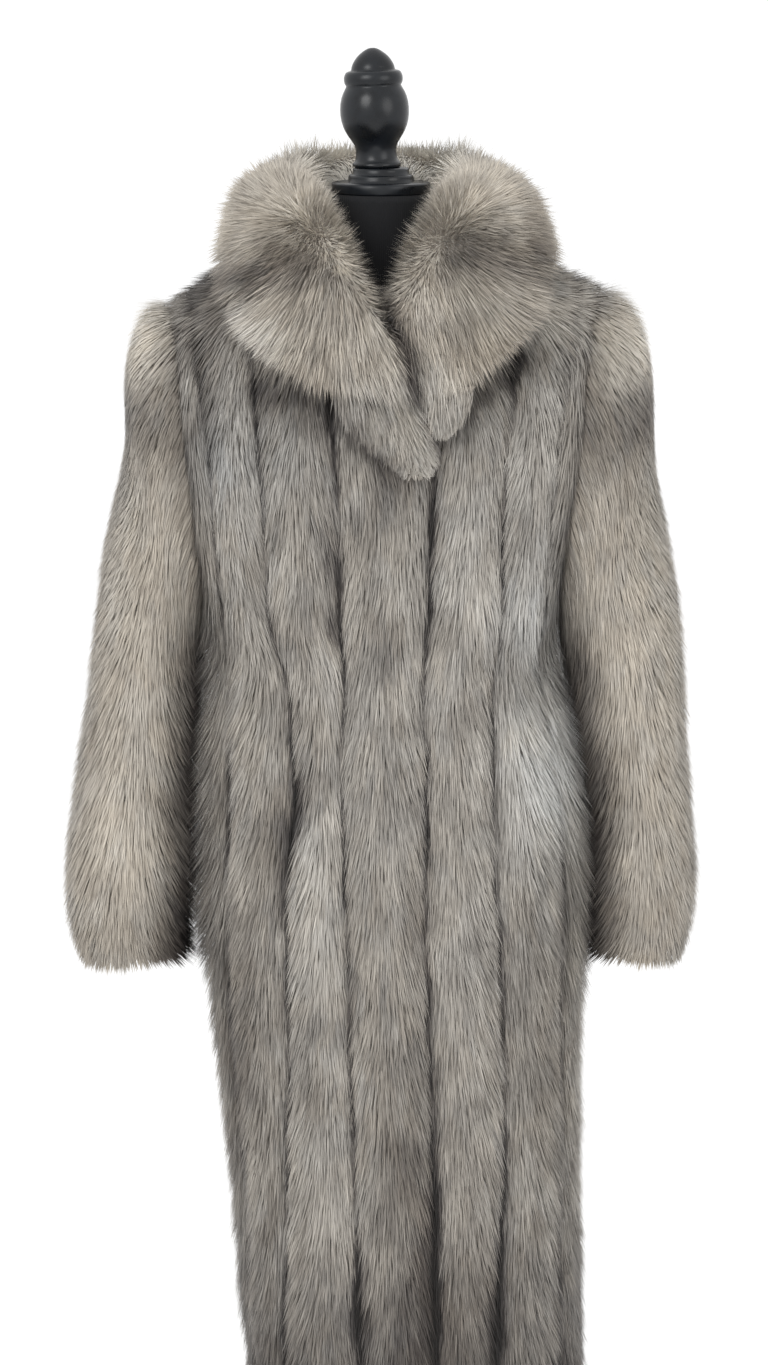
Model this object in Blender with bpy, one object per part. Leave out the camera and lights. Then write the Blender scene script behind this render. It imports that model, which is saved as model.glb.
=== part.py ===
# Full-length fur coat on a limbless dress form. Metres, +Z up, the coat's front faces -Y, the floor is z = 0.
# "right" and "left" are the wearer's: the right side is at -X.
import math
from collections import namedtuple

import bmesh
import bpy
import numpy as np

for old_object in list(bpy.data.objects):
    bpy.data.objects.remove(old_object, do_unlink=True)

# ---- Driving sizes ----
SEAM_GAP = 0.0003
PELT_WALL = 0.020  # skin, underfur and guard hair of the body and sleeves
UNDERLAP_WALL = 0.010
UNDERLAP_WIDTH = 0.040
LAP_CLEARANCE = 0.001
GROOVE_DEPTH = 0.008  # dip between two pelts
HEM_Z = 0.180
UNDERARM_Z = 1.130
SIDE_TOP_Z = 1.100  # last full row under the underarm
LOWER_ROWS = 12
SECTION_POWER = 2.4
DOME_POWER = 2.2  # how the shoulders round over
NECK_FADE = 4.0  # how late the fronts and back lean in to the neckline
UNDERARM_RISE = 1.8  # height of the wall on the armhole's lowest point, in walls
ARMHOLE_DEPTH = 0.085
SHOULDER_PUFF = 0.010
NECK_LEAN = 0.6  # share of the wall that the neckline's inner edge lies further in
NECK_SHARE = 0.41  # where the neckline meets the shoulder seam, as a share of the shoulder's reach
HALF_BACK_PELTS = 5
CENTRE_SHARE = 0.0014  # keeps the two backs a seam's gap apart
SLEEVE_SEGMENTS = 20
COLLAR_STEP = 10.0
STAND_WALL = 0.020
STAND_BOW = 0.012
LATHE_SEGMENTS = 24

# The dip's share of GROOVE_DEPTH at each share of a pelt's width.
PELT_PROFILE = ((0.0, 1.0), (0.2, 0.3), (0.5, 0.0), (0.8, 0.3))
# A lapel's share of its full wall at each share of its width.
LAPEL_PROFILE = ((0.0, 0.35), (0.15, 0.75), (0.4, 1.0), (0.65, 1.0), (0.88, 0.75), (1.0, 0.35))
# Shares of the collar's section, from the neck seam up over the crest; the crease and the edge come after them.
COLLAR_SHARES = (0.0, 0.12, 0.26, 0.4, 0.52)
# Heights of the rows above the underarm, as angles of the armhole's half turn.
ARMHOLE_ANGLES = (0, 25, 50, 72, 95, 118, 140, 160, 180)

# Body at each height: half widths, depths, and the x of the closure and of the pelt seams on the fronts.
BodyRow = namedtuple("BodyRow", "z right left front back closure seam_1 seam_2 seam_3")
BODY = (
    BodyRow(0.180, 0.136, 0.216, 0.170, 0.160, 0.057, -0.021, -0.103, 0.119),
    BodyRow(0.300, 0.139, 0.213, 0.168, 0.158, 0.057, -0.021, -0.102, 0.119),
    BodyRow(0.420, 0.150, 0.209, 0.166, 0.155, 0.056, -0.022, -0.102, 0.118),
    BodyRow(0.540, 0.156, 0.206, 0.163, 0.151, 0.054, -0.025, -0.098, 0.123),
    BodyRow(0.660, 0.168, 0.204, 0.161, 0.147, 0.050, -0.028, -0.095, 0.126),
    BodyRow(0.780, 0.177, 0.205, 0.159, 0.143, 0.046, -0.032, -0.094, 0.120),
    BodyRow(0.900, 0.178, 0.204, 0.156, 0.138, 0.044, -0.036, -0.091, 0.114),
    BodyRow(1.000, 0.176, 0.190, 0.152, 0.130, 0.045, -0.040, -0.084, 0.112),
    BodyRow(1.070, 0.171, 0.173, 0.150, 0.124, 0.043, -0.038, -0.090, 0.111),
    BodyRow(1.130, 0.165, 0.168, 0.149, 0.120, 0.044, -0.037, -0.104, 0.111),
)

# The plane of each armhole, from the underarm to the shoulder point.
Armhole = namedtuple("Armhole", "under_x shoulder_x shoulder_z")
ARMHOLE_RIGHT = Armhole(0.165, 0.192, 1.430)
ARMHOLE_LEFT = Armhole(0.168, 0.196, 1.440)

# Neckline, by the angle from the centre front round to the centre back.
NeckRow = namedtuple("NeckRow", "angle radius z")
NECKLINE = (
    NeckRow(0, 0.118, 1.365),
    NeckRow(12, 0.108, 1.385),
    NeckRow(25, 0.097, 1.415),
    NeckRow(40, 0.088, 1.443),
    NeckRow(55, 0.083, 1.462),
    NeckRow(70, 0.081, 1.474),
    NeckRow(90, 0.080, 1.480),
    NeckRow(120, 0.076, 1.483),
    NeckRow(150, 0.072, 1.485),
    NeckRow(180, 0.070, 1.485),
)

# Collar, by the same angle: the middle of its wall at the crest and at the lower edge of the fall.
# lift is the stand's height over the neckline, more where the neckline bends.
CollarRow = namedtuple("CollarRow", "angle crest_radius crest_z edge_radius edge_z wall lift")
COLLAR = (
    CollarRow(0, 0.132, 1.405, 0.163, 1.362, 0.021, 0.0030),
    CollarRow(12, 0.120, 1.450, 0.163, 1.361, 0.024, 0.0025),
    CollarRow(25, 0.109, 1.492, 0.163, 1.366, 0.026, 0.0015),
    CollarRow(40, 0.102, 1.519, 0.164, 1.383, 0.028, 0.0010),
    CollarRow(55, 0.099, 1.530, 0.158, 1.416, 0.028, 0.0006),
    CollarRow(70, 0.098, 1.533, 0.145, 1.458, 0.028, 0.0004),
    CollarRow(90, 0.099, 1.533, 0.136, 1.476, 0.028, 0.0003),
    CollarRow(120, 0.098, 1.540, 0.138, 1.455, 0.028, 0.0003),
    CollarRow(150, 0.092, 1.545, 0.138, 1.412, 0.028, 0.0003),
    CollarRow(180, 0.088, 1.548, 0.137, 1.395, 0.028, 0.0003),
)
COLLAR_RIGHT_END = -2.0
COLLAR_LEFT_END = 357.0
COLLAR_LEFT_SPREAD = 0.014  # how much further out the left wing's edge stands
COLLAR_LEAN = 7.5  # angle by which the fall's front ends swing to the wearer's left, from the crest to the edge
COLLAR_LEAN_FADE = 25.0
CREST_SHARE = 0.48

# The crease that parts the fall's upper roll from its lower lobe, by the same angle: share of the section, and depth.
CreaseRow = namedtuple("CreaseRow", "angle right right_depth left left_depth")
CREASE = (
    CreaseRow(0, 0.70, 0.000, 0.72, 0.000),
    CreaseRow(6, 0.74, 0.007, 0.73, 0.000),
    CreaseRow(12, 0.78, 0.012, 0.74, 0.001),
    CreaseRow(20, 0.82, 0.013, 0.76, 0.004),
    CreaseRow(33, 0.83, 0.013, 0.79, 0.011),
    CreaseRow(45, 0.88, 0.011, 0.87, 0.010),
    CreaseRow(55, 0.90, 0.004, 0.90, 0.004),
    CreaseRow(65, 0.84, 0.000, 0.84, 0.000),
    CreaseRow(80, 0.76, 0.000, 0.76, 0.000),
    CreaseRow(180, 0.76, 0.000, 0.76, 0.000),
)

# Sleeves: each ring's inner and outer point, seen from the front, its half depth and the y of its middle.
SleeveRow = namedtuple("SleeveRow", "inner_x inner_z outer_x outer_z depth middle_y")
SLEEVE_RIGHT = (
    SleeveRow(0.1650, 1.130, 0.192, 1.430, 0.085, 0.000),
    SleeveRow(0.1670, 1.124, 0.214, 1.423, 0.086, 0.000),
    SleeveRow(0.1690, 1.118, 0.232, 1.399, 0.086, 0.000),
    SleeveRow(0.1710, 1.112, 0.241, 1.373, 0.084, -0.001),
    SleeveRow(0.1725, 1.106, 0.244, 1.341, 0.082, -0.002),
    SleeveRow(0.1740, 1.100, 0.243, 1.305, 0.080, -0.003),
    SleeveRow(0.1750, 1.094, 0.247, 1.270, 0.078, -0.004),
    SleeveRow(0.1760, 1.088, 0.259, 1.229, 0.074, -0.006),
    SleeveRow(0.1770, 1.080, 0.269, 1.182, 0.070, -0.008),
    SleeveRow(0.1780, 1.068, 0.277, 1.130, 0.067, -0.010),
    SleeveRow(0.1790, 1.046, 0.285, 1.072, 0.066, -0.012),
    SleeveRow(0.1815, 1.000, 0.294, 1.005, 0.067, -0.014),
    SleeveRow(0.1850, 0.940, 0.305, 0.938, 0.069, -0.015),
    SleeveRow(0.1890, 0.875, 0.313, 0.868, 0.071, -0.015),
    SleeveRow(0.1930, 0.830, 0.312, 0.820, 0.071, -0.015),
    SleeveRow(0.1990, 0.797, 0.305, 0.789, 0.068, -0.014),
    SleeveRow(0.2080, 0.779, 0.294, 0.774, 0.061, -0.014),
)
SLEEVE_LEFT = (
    SleeveRow(0.1680, 1.130, 0.196, 1.440, 0.085, 0.000),
    SleeveRow(0.1706, 1.124, 0.216, 1.437, 0.086, 0.000),
    SleeveRow(0.1721, 1.118, 0.235, 1.421, 0.086, 0.000),
    SleeveRow(0.1730, 1.112, 0.249, 1.398, 0.085, 0.000),
    SleeveRow(0.1745, 1.105, 0.257, 1.367, 0.083, -0.001),
    SleeveRow(0.1760, 1.098, 0.260, 1.330, 0.081, -0.002),
    SleeveRow(0.1775, 1.090, 0.261, 1.290, 0.078, -0.003),
    SleeveRow(0.1790, 1.082, 0.266, 1.249, 0.075, -0.004),
    SleeveRow(0.1810, 1.072, 0.277, 1.203, 0.071, -0.006),
    SleeveRow(0.1840, 1.060, 0.287, 1.147, 0.068, -0.008),
    SleeveRow(0.1880, 1.038, 0.296, 1.078, 0.066, -0.009),
    SleeveRow(0.1950, 0.990, 0.301, 1.000, 0.066, -0.010),
    SleeveRow(0.2040, 0.930, 0.307, 0.926, 0.067, -0.010),
    SleeveRow(0.2085, 0.865, 0.313, 0.860, 0.068, -0.010),
    SleeveRow(0.2100, 0.825, 0.311, 0.817, 0.067, -0.010),
    SleeveRow(0.2120, 0.797, 0.305, 0.789, 0.064, -0.010),
    SleeveRow(0.2190, 0.779, 0.294, 0.774, 0.058, -0.010),
)

# Lapels: the x of both edges, the height over the fronts and the wall; the top rows meet the collar's edge.
LapelRow = namedtuple("LapelRow", "z from_x to_x off wall")
LAPEL_RIGHT = (
    LapelRow(1.2660, 0.0310, 0.0430, 0.001, 0.008),
    LapelRow(1.2800, 0.0175, 0.0475, 0.001, 0.015),
    LapelRow(1.2940, 0.0060, 0.0485, 0.003, 0.020),
    LapelRow(1.3100, -0.0080, 0.0470, 0.007, 0.023),
    LapelRow(1.3260, -0.0210, 0.0410, 0.012, 0.024),
    LapelRow(1.3380, -0.0300, 0.0360, 0.017, 0.024),
    LapelRow(1.3500, -0.0380, 0.0310, 0.021, 0.023),
    LapelRow(1.3580, -0.0430, 0.0275, 0.024, 0.022),
)
LAPEL_LEFT = (
    LapelRow(1.3020, 0.0515, 0.0560, 0.004, 0.009),
    LapelRow(1.3110, 0.0490, 0.0610, 0.007, 0.017),
    LapelRow(1.3210, 0.0450, 0.0670, 0.010, 0.022),
    LapelRow(1.3310, 0.0410, 0.0725, 0.013, 0.023),
    LapelRow(1.3420, 0.0362, 0.0775, 0.018, 0.023),
    LapelRow(1.3500, 0.0325, 0.0815, 0.021, 0.023),
    LapelRow(1.3580, 0.0290, 0.0860, 0.024, 0.021),
)

# Dress form, smooth and without limbs.
FormRow = namedtuple("FormRow", "z half_width front back")
FORM = (
    FormRow(0.760, 0.060, 0.045, 0.050),
    FormRow(0.768, 0.100, 0.074, 0.080),
    FormRow(0.790, 0.128, 0.094, 0.100),
    FormRow(0.830, 0.139, 0.102, 0.110),
    FormRow(0.890, 0.140, 0.102, 0.109),
    FormRow(0.980, 0.122, 0.092, 0.098),
    FormRow(1.060, 0.113, 0.088, 0.090),
    FormRow(1.140, 0.124, 0.097, 0.092),
    FormRow(1.220, 0.137, 0.104, 0.092),
    FormRow(1.290, 0.145, 0.096, 0.090),
    FormRow(1.350, 0.146, 0.080, 0.082),
    FormRow(1.385, 0.132, 0.068, 0.072),
    FormRow(1.408, 0.102, 0.060, 0.064),
    FormRow(1.428, 0.070, 0.053, 0.057),
    FormRow(1.450, 0.053, 0.048, 0.052),
    FormRow(1.485, 0.047, 0.046, 0.048),
    FormRow(1.521, 0.046, 0.046, 0.046),
)
FORM_SEGMENTS = 28

# Turned wood: height above the piece's foot, and radius.
TurnedRow = namedtuple("TurnedRow", "height radius")
CAP = (
    TurnedRow(0.0000, 0.0445),
    TurnedRow(0.0012, 0.0465),
    TurnedRow(0.0085, 0.0465),
    TurnedRow(0.0100, 0.0450),
    TurnedRow(0.0100, 0.0310),
    TurnedRow(0.0150, 0.0305),
    TurnedRow(0.0170, 0.0290),
    TurnedRow(0.0170, 0.0270),
    TurnedRow(0.0215, 0.0265),
    TurnedRow(0.0235, 0.0245),
)
FINIAL = (
    TurnedRow(0.0000, 0.0130),
    TurnedRow(0.0010, 0.0190),
    TurnedRow(0.0070, 0.0185),
    TurnedRow(0.0130, 0.0190),
    TurnedRow(0.0190, 0.0215),
    TurnedRow(0.0260, 0.0262),
    TurnedRow(0.0340, 0.0300),
    TurnedRow(0.0430, 0.0320),
    TurnedRow(0.0510, 0.0318),
    TurnedRow(0.0565, 0.0290),
    TurnedRow(0.0585, 0.0268),
    TurnedRow(0.0605, 0.0285),
    TurnedRow(0.0640, 0.0293),
    TurnedRow(0.0675, 0.0280),
    TurnedRow(0.0690, 0.0255),
    TurnedRow(0.0780, 0.0252),
    TurnedRow(0.0870, 0.0228),
    TurnedRow(0.0960, 0.0182),
    TurnedRow(0.1030, 0.0125),
    TurnedRow(0.1070, 0.0068),
    TurnedRow(0.1085, 0.0020),
)
CAP_Z = 1.5213
FINIAL_GAP = 0.0012
FINIAL_SHIFT = 0.004
FINIAL_LEAN = math.radians(2.2)
BASE = (
    TurnedRow(0.0000, 0.1850),
    TurnedRow(0.0030, 0.1900),
    TurnedRow(0.0180, 0.1900),
    TurnedRow(0.0240, 0.1840),
    TurnedRow(0.0280, 0.1500),
    TurnedRow(0.0300, 0.0600),
    TurnedRow(0.0360, 0.0300),
    TurnedRow(0.0500, 0.0240),
    TurnedRow(0.0600, 0.0230),
)
BASE_SEGMENTS = 40
POLE_RADIUS = 0.015
POLE_SEGMENTS = 20

# Colour, roughness and metallic of each material.
Finish = namedtuple("Finish", "colour roughness metallic")
FINISHES = {
    "silver_fur": Finish((0.36, 0.34, 0.32), 0.9, 0.0),
    "cream_fur": Finish((0.50, 0.46, 0.41), 0.9, 0.0),
    "black_jersey": Finish((0.012, 0.012, 0.013), 0.9, 0.0),
    "black_lacquered_wood": Finish((0.014, 0.014, 0.015), 0.35, 0.0),
    "black_metal": Finish((0.02, 0.02, 0.02), 0.4, 0.9),
}


# ---- Helpers ----
def lerp(start, end, share):
    return start + (end - start) * share


def row_at(rows, key):
    """The table's row at a key between two of its rows, on a smooth curve through them."""
    values = np.array(rows, dtype=float)
    keys = values[:, 0]
    slopes = np.gradient(values, keys, axis=0)
    first = int(np.clip(np.searchsorted(keys, key) - 1, 0, len(rows) - 2))
    step = keys[first + 1] - keys[first]
    share = (key - keys[first]) / step
    start_weight = (1 + 2 * share) * (1 - share) ** 2
    end_weight = share ** 2 * (3 - 2 * share)
    start_slope = share * (1 - share) ** 2 * step
    end_slope = share ** 2 * (share - 1) * step
    mixed = start_weight * values[first] + end_weight * values[first + 1]
    mixed += start_slope * slopes[first] + end_slope * slopes[first + 1]
    return type(rows[0])(*mixed)


def material(name):
    finish = FINISHES[name]
    made = bpy.data.materials.get(name) or bpy.data.materials.new(name)
    made.use_nodes = True
    shader = made.node_tree.nodes["Principled BSDF"]
    shader.inputs["Base Color"].default_value = (*finish.colour, 1.0)
    shader.inputs["Roughness"].default_value = finish.roughness
    shader.inputs["Metallic"].default_value = finish.metallic
    made.diffuse_color = (*finish.colour, 1.0)
    return made


def add_object(name, points, faces, finish):
    mesh = bpy.data.meshes.new(name)
    mesh.from_pydata([tuple(point) for point in points], [], faces)
    work = bmesh.new()
    work.from_mesh(mesh)
    bmesh.ops.recalc_face_normals(work, faces=work.faces)
    work.to_mesh(mesh)
    work.free()
    mesh.shade_smooth()
    mesh.set_sharp_from_angle(angle=math.radians(50))
    mesh.materials.append(material(finish))
    made = bpy.data.objects.new(name, mesh)
    bpy.context.scene.collection.objects.link(made)
    return made


def add_wall(name, outer, inner, finish, tube=False):
    """A wall between two grids of points; a tube's rows close on themselves."""
    rows = len(outer)
    columns = len(outer[0])
    points = [point for row in outer for point in row] + [point for row in inner for point in row]
    inside = rows * columns
    faces = []
    spans = columns if tube else columns - 1
    for i in range(rows - 1):
        for j in range(spans):
            a = i * columns + j
            b = i * columns + (j + 1) % columns
            faces.append((a, b, b + columns, a + columns))
            faces.append((inside + a, inside + a + columns, inside + b + columns, inside + b))
    for i in (0, rows - 1):
        for j in range(spans):
            a = i * columns + j
            b = i * columns + (j + 1) % columns
            faces.append((a, inside + a, inside + b, b))
    if not tube:
        for j in (0, columns - 1):
            for i in range(rows - 1):
                a = i * columns + j
                b = a + columns
                faces.append((a, b, inside + b, inside + a))
    return add_object(name, points, faces, finish)


def add_rings(name, rings, finish):
    """A solid through closed rings of points, with a flat face on both ends."""
    count = len(rings[0])
    points = [point for ring in rings for point in ring]
    faces = [tuple(range(count)), tuple(range((len(rings) - 1) * count, len(rings) * count))]
    for i in range(len(rings) - 1):
        for j in range(count):
            a = i * count + j
            b = i * count + (j + 1) % count
            faces.append((a, b, b + count, a + count))
    return add_object(name, points, faces, finish)


def add_turned(name, rows, foot_z, segments, finish):
    rings = []
    for row in rows:
        angles = np.arange(segments) * 2 * math.pi / segments
        ring = [(row.radius * math.cos(a), row.radius * math.sin(a), row.height) for a in angles]
        rings.append(ring)
    made = add_rings(name, rings, finish)
    made.location = (0.0, 0.0, foot_z)
    return made


# ---- Body: fronts and back ----
def section(share, depth, edge_depth=0.0):
    """Depth of the body at a share of its half width; edge_depth is the depth left at share 1."""
    left_over = (edge_depth / depth) ** SECTION_POWER
    inside = 1 - (1 - left_over) * abs(share) ** SECTION_POWER
    return depth * max(inside, 0.0) ** (1 / SECTION_POWER)


def turn_of(share):
    return math.copysign(math.asin(min(abs(share) ** (SECTION_POWER / 2), 1.0)), share)


def share_of(turn):
    return math.copysign(abs(math.sin(turn)) ** (2 / SECTION_POWER), turn)


def armhole_of(across):
    return ARMHOLE_LEFT if across > 0 else ARMHOLE_RIGHT


def armhole_x(across, z):
    hole = armhole_of(across)
    share = (z - UNDERARM_Z) / (hole.shoulder_z - UNDERARM_Z)
    return lerp(hole.under_x, hole.shoulder_x, share)


def keep_off_seam(y, face):
    return face * max(abs(y), SEAM_GAP / 2)


def lower_point(face, across, z, inset):
    """Point under the underarm: face is -1 in front and 1 behind, across runs from -1 to 1 along X."""
    row = row_at(BODY, z)
    half = row.left if across > 0 else row.right
    depth = row.front if face < 0 else row.back
    y = face * section(across, depth - inset)
    return (across * (half - inset), keep_off_seam(y, face), z)


def top_point(face, across, inset):
    """Point on the neckline, or past it on the shoulder seam."""
    side = math.copysign(1.0, across)
    reach = abs(across)
    hole = armhole_of(across)
    if reach < NECK_SHARE:
        angle = 90 * reach / NECK_SHARE
        neck = row_at(NECKLINE, angle if face < 0 else 180 - angle)
        radius = neck.radius - inset * NECK_LEAN
        x = side * radius * math.sin(math.radians(angle))
        y = face * radius * math.cos(math.radians(angle))
        return (x, y, neck.z - inset * lerp(0.5, 1.0, (reach / NECK_SHARE) ** 2))
    neck = row_at(NECKLINE, 90)
    share = (reach - NECK_SHARE) / (1 - NECK_SHARE)
    puff = SHOULDER_PUFF * math.sin(math.pi * share)
    x = side * lerp(neck.radius - inset * NECK_LEAN, hole.shoulder_x, share)
    return (x, 0.0, lerp(neck.z, hole.shoulder_z, share) + puff - inset)


def upper_point(face, across, rise, inset):
    """Point over the underarm: rise runs from 0 at the underarm to 1 at the neckline or shoulder."""
    side = math.copysign(1.0, across)
    reach = abs(across)
    under = row_at(BODY, UNDERARM_Z)
    depth = (under.front if face < 0 else under.back) - inset
    top_x, top_y, top_z = top_point(face, across, inset)
    z = lerp(UNDERARM_Z + inset * UNDERARM_RISE * reach ** 8, top_z, rise)
    shoulder_dome = (1 - rise ** DOME_POWER) ** (1 / DOME_POWER)
    dome = lerp(1 - rise ** NECK_FADE, shoulder_dome, min(reach / NECK_SHARE, 1.0) ** 2)
    hole_depth = (ARMHOLE_DEPTH - inset) * 2 * math.sqrt(rise * (1 - rise))
    edge_depth = hole_depth / shoulder_dome if rise < 1 else 0.0
    y = face * section(reach, depth, edge_depth) * dome + top_y * (1 - dome)
    pull = (top_x - side * reach * armhole_x(across, top_z)) * rise ** 2
    x = side * reach * (armhole_x(across, z) - SEAM_GAP / 2) + pull * (1 - reach ** 8)
    return (x, keep_off_seam(y, face), z)


# A line down the body: its share across under the underarm, its share at the top and how late it bends there.
Line = namedtuple("Line", "low high bend")


def front_right_lines(z):
    row = row_at(BODY, min(z, UNDERARM_Z))
    middle = share_of((turn_of(-row.seam_2 / row.right) + math.pi / 2) / 2)
    return (
        Line(row.closure / row.left, 0.02, 4.0),
        Line(row.seam_1 / row.right, -0.20, 1.5),
        Line(row.seam_2 / row.right, -0.62, 1.0),
        Line(-middle, -0.86, 1.0),
        Line(-1.0, -1.0, 1.0),
    )


def front_left_lines(z):
    row = row_at(BODY, min(z, UNDERARM_Z))
    middle = share_of((turn_of(row.seam_3 / row.left) + math.pi / 2) / 2)
    return (
        Line(row.closure / row.left, 0.02, 4.0),
        Line(row.seam_3 / row.left, 0.62, 1.0),
        Line(middle, 0.88, 1.0),
        Line(1.0, 1.0, 1.0),
    )


def back_right_lines(_z):
    shares = [-share_of(k / HALF_BACK_PELTS * math.pi / 2) for k in range(HALF_BACK_PELTS, 0, -1)]
    return [Line(share, share, 1.0) for share in shares + [-CENTRE_SHARE]]


def back_left_lines(z):
    return [Line(-line.low, -line.high, line.bend) for line in reversed(back_right_lines(z))]


def line_share(line, rise):
    return lerp(line.low, line.high, rise ** line.bend)


def pelt_columns(lines, rise):
    """Share across and dip of each column: the pelts between the lines are full and their seams dip."""
    turns = [turn_of(line_share(line, rise)) for line in lines]
    columns = []
    for start, end in zip(turns, turns[1:]):
        for share, dip in PELT_PROFILE:
            columns.append((share_of(lerp(start, end, share)), dip * GROOVE_DEPTH))
    columns.append((share_of(turns[-1]), GROOVE_DEPTH))
    return columns


def body_rows():
    """(z, rise) of each row from the hem up; rise is None under the underarm."""
    lower = [(z, None) for z in np.linspace(HEM_Z, SIDE_TOP_Z, LOWER_ROWS)]
    upper = [(UNDERARM_Z, (1 - math.cos(math.radians(angle))) / 2) for angle in ARMHOLE_ANGLES]
    return lower + upper


def body_point(face, across, z, rise, inset):
    if rise is None:
        return lower_point(face, across, z, inset)
    return upper_point(face, across, rise, inset)


def add_panel(name, face, lines_at, underlap=False):
    outer = []
    inner = []
    for z, rise in body_rows():
        columns = pelt_columns(lines_at(z), rise or 0.0)
        insets = [(across, dip, PELT_WALL) for across, dip in columns]
        if underlap:
            insets = add_underlap(insets, z, rise or 0.0)
        round_off = GROOVE_DEPTH / 2 if z == HEM_Z else 0.0
        outer.append([body_point(face, across, z, rise, out + round_off) for across, out, _ in insets])
        inner.append([body_point(face, across, z, rise, deep) for across, _, deep in insets])
    return add_wall(name, outer, inner, "silver_fur")


def add_underlap(insets, z, rise):
    """The left front steps in behind the right front's edge and runs on under it, less so at the neck."""
    row = row_at(BODY, min(z, UNDERARM_Z))
    width = UNDERLAP_WIDTH / row.left * (1 - 0.85 * rise ** 2)
    step = 0.002 / row.left
    under = PELT_WALL + LAP_CLEARANCE * (1 + 3 * rise ** 4)
    edge = insets[0][0]
    flap = [(edge - width, under, under + UNDERLAP_WALL),
            (edge - width / 2, under, under + UNDERLAP_WALL),
            (edge + step, under, under + UNDERLAP_WALL)]
    first = (edge + 3 * step, GROOVE_DEPTH, under + UNDERLAP_WALL)
    return flap + [first] + insets[1:]


# ---- Sleeves ----
def sleeve_ring(row, side, inset):
    inner = np.array((row.inner_x, row.inner_z))
    outer = np.array((row.outer_x, row.outer_z))
    length = np.linalg.norm(outer - inner)
    along = (outer - inner) / length
    middle = (inner + outer) / 2
    ring = []
    for k in range(SLEEVE_SEGMENTS):
        turn = 2 * math.pi * k / SLEEVE_SEGMENTS
        x, z = middle + along * (length / 2 - inset) * math.cos(turn)
        y = row.middle_y + (row.depth - inset) * math.sin(turn)
        ring.append((side * x, y, z))
    return ring


def add_sleeve(name, rows, side):
    outer = []
    inner = []
    for number, row in enumerate(rows):
        if number == 0:
            row = row._replace(inner_x=row.inner_x + SEAM_GAP / 2, outer_x=row.outer_x + SEAM_GAP / 2)
        dip = GROOVE_DEPTH if number == 0 else 0.0
        wall = PELT_WALL - 0.006 if number == len(rows) - 1 else PELT_WALL
        outer.append(sleeve_ring(row, side, dip))
        inner.append(sleeve_ring(row, side, wall))
    return add_wall(name, outer, inner, "cream_fur", tube=True)


# ---- Collar and lapels ----
def crease_at(angle):
    """Share and depth of the fall's crease."""
    row = row_at(CREASE, min(angle % 360, -angle % 360))
    return (row.left, row.left_depth) if angle > 180 else (row.right, row.right_depth)


def relief(share, crease, depth):
    """How far the fall's outside stands out: it swells on both sides of the crease and dips in it."""
    swell = math.exp(-(((share - crease + 0.17) / 0.10) ** 2)) + 0.6 * math.exp(-(((share - crease - 0.10) / 0.06) ** 2))
    return depth * (0.5 * swell - math.exp(-abs(share - crease) / 0.045))


def collar_section(angle):
    """Closed section of the folded collar in (share, radius, z), up the stand, over the crest and down the fall."""
    from_front = min(angle % 360, -angle % 360)
    neck = row_at(NECKLINE, from_front)
    row = row_at(COLLAR, from_front)
    crease, depth = crease_at(angle)
    seam = np.array((neck.radius - STAND_WALL / 2, neck.z + row.lift))
    crest = np.array((row.crest_radius, row.crest_z))
    spread = COLLAR_LEFT_SPREAD * math.sin(math.radians(from_front)) ** 2 if angle > 180 else 0.0
    edge = np.array((row.edge_radius + spread, row.edge_z))
    handles = (crest - (seam + edge) / 8) / 0.75
    first = np.array((seam[0] - STAND_BOW, handles[1]))
    second = np.array((2 * handles[0] - first[0], handles[1]))
    outer = []
    inner = []
    for share in COLLAR_SHARES + (lerp(COLLAR_SHARES[-1], crease, 0.5), crease, lerp(crease, 1.0, 0.5), 1.0):
        rest = 1 - share
        point = rest ** 3 * seam + 3 * rest ** 2 * share * first + 3 * rest * share ** 2 * second + share ** 3 * edge
        slope = 3 * rest ** 2 * (first - seam) + 6 * rest * share * (second - first) + 3 * share ** 2 * (edge - second)
        slope /= np.linalg.norm(slope)
        if share == 0.0:
            slope = np.array((0.0, 1.0))
        normal = np.array((-slope[1], slope[0]))
        half = lerp(STAND_WALL, row.wall, min(2 * share, 1.0)) / 2
        if share == 1.0:
            half *= 0.55
        outer.append((share, *(point + normal * (half + relief(share, crease, depth)))))
        inner.append((share, *(point - normal * half)))
    return outer + inner[::-1]


def collar_turn(angle, share):
    """Where a point of the collar stands round the neck: the front ends lean over on their way down."""
    from_front = min(angle % 360, -angle % 360)
    down = max(share - CREST_SHARE, 0.0) / (1 - CREST_SHARE)
    return math.radians(angle - COLLAR_LEAN * down * math.exp(-((from_front / COLLAR_LEAN_FADE) ** 2)))


def add_collar():
    count = round((COLLAR_LEFT_END - COLLAR_RIGHT_END) / COLLAR_STEP)
    rings = []
    for angle in np.linspace(COLLAR_RIGHT_END, COLLAR_LEFT_END, count + 1):
        ring = []
        for share, radius, z in collar_section(angle):
            turn = collar_turn(angle, share)
            ring.append((-radius * math.sin(turn), -radius * math.cos(turn), z))
        rings.append(ring)
    return add_rings("collar", rings, "cream_fur")


def front_skin(x, z, out):
    """Point over the fronts at x and z, moved out from their fullest surface."""
    across = x / armhole_x(x, z)
    top_z = top_point(-1, across, 0.0)[2]
    rise = (z - UNDERARM_Z) / (top_z - UNDERARM_Z)
    y = upper_point(-1, across, min(rise, 1.0), 0.0)[1]
    return (x, y - out, z)


def add_lapel(name, rows):
    outer = []
    inner = []
    for row in rows:
        outer.append([])
        inner.append([])
        for share, full in LAPEL_PROFILE:
            x = lerp(row.from_x, row.to_x, share)
            inner[-1].append(front_skin(x, row.z, row.off))
            outer[-1].append(front_skin(x, row.z, row.off + row.wall * full))
    return add_wall(name, outer, inner, "cream_fur")


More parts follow.
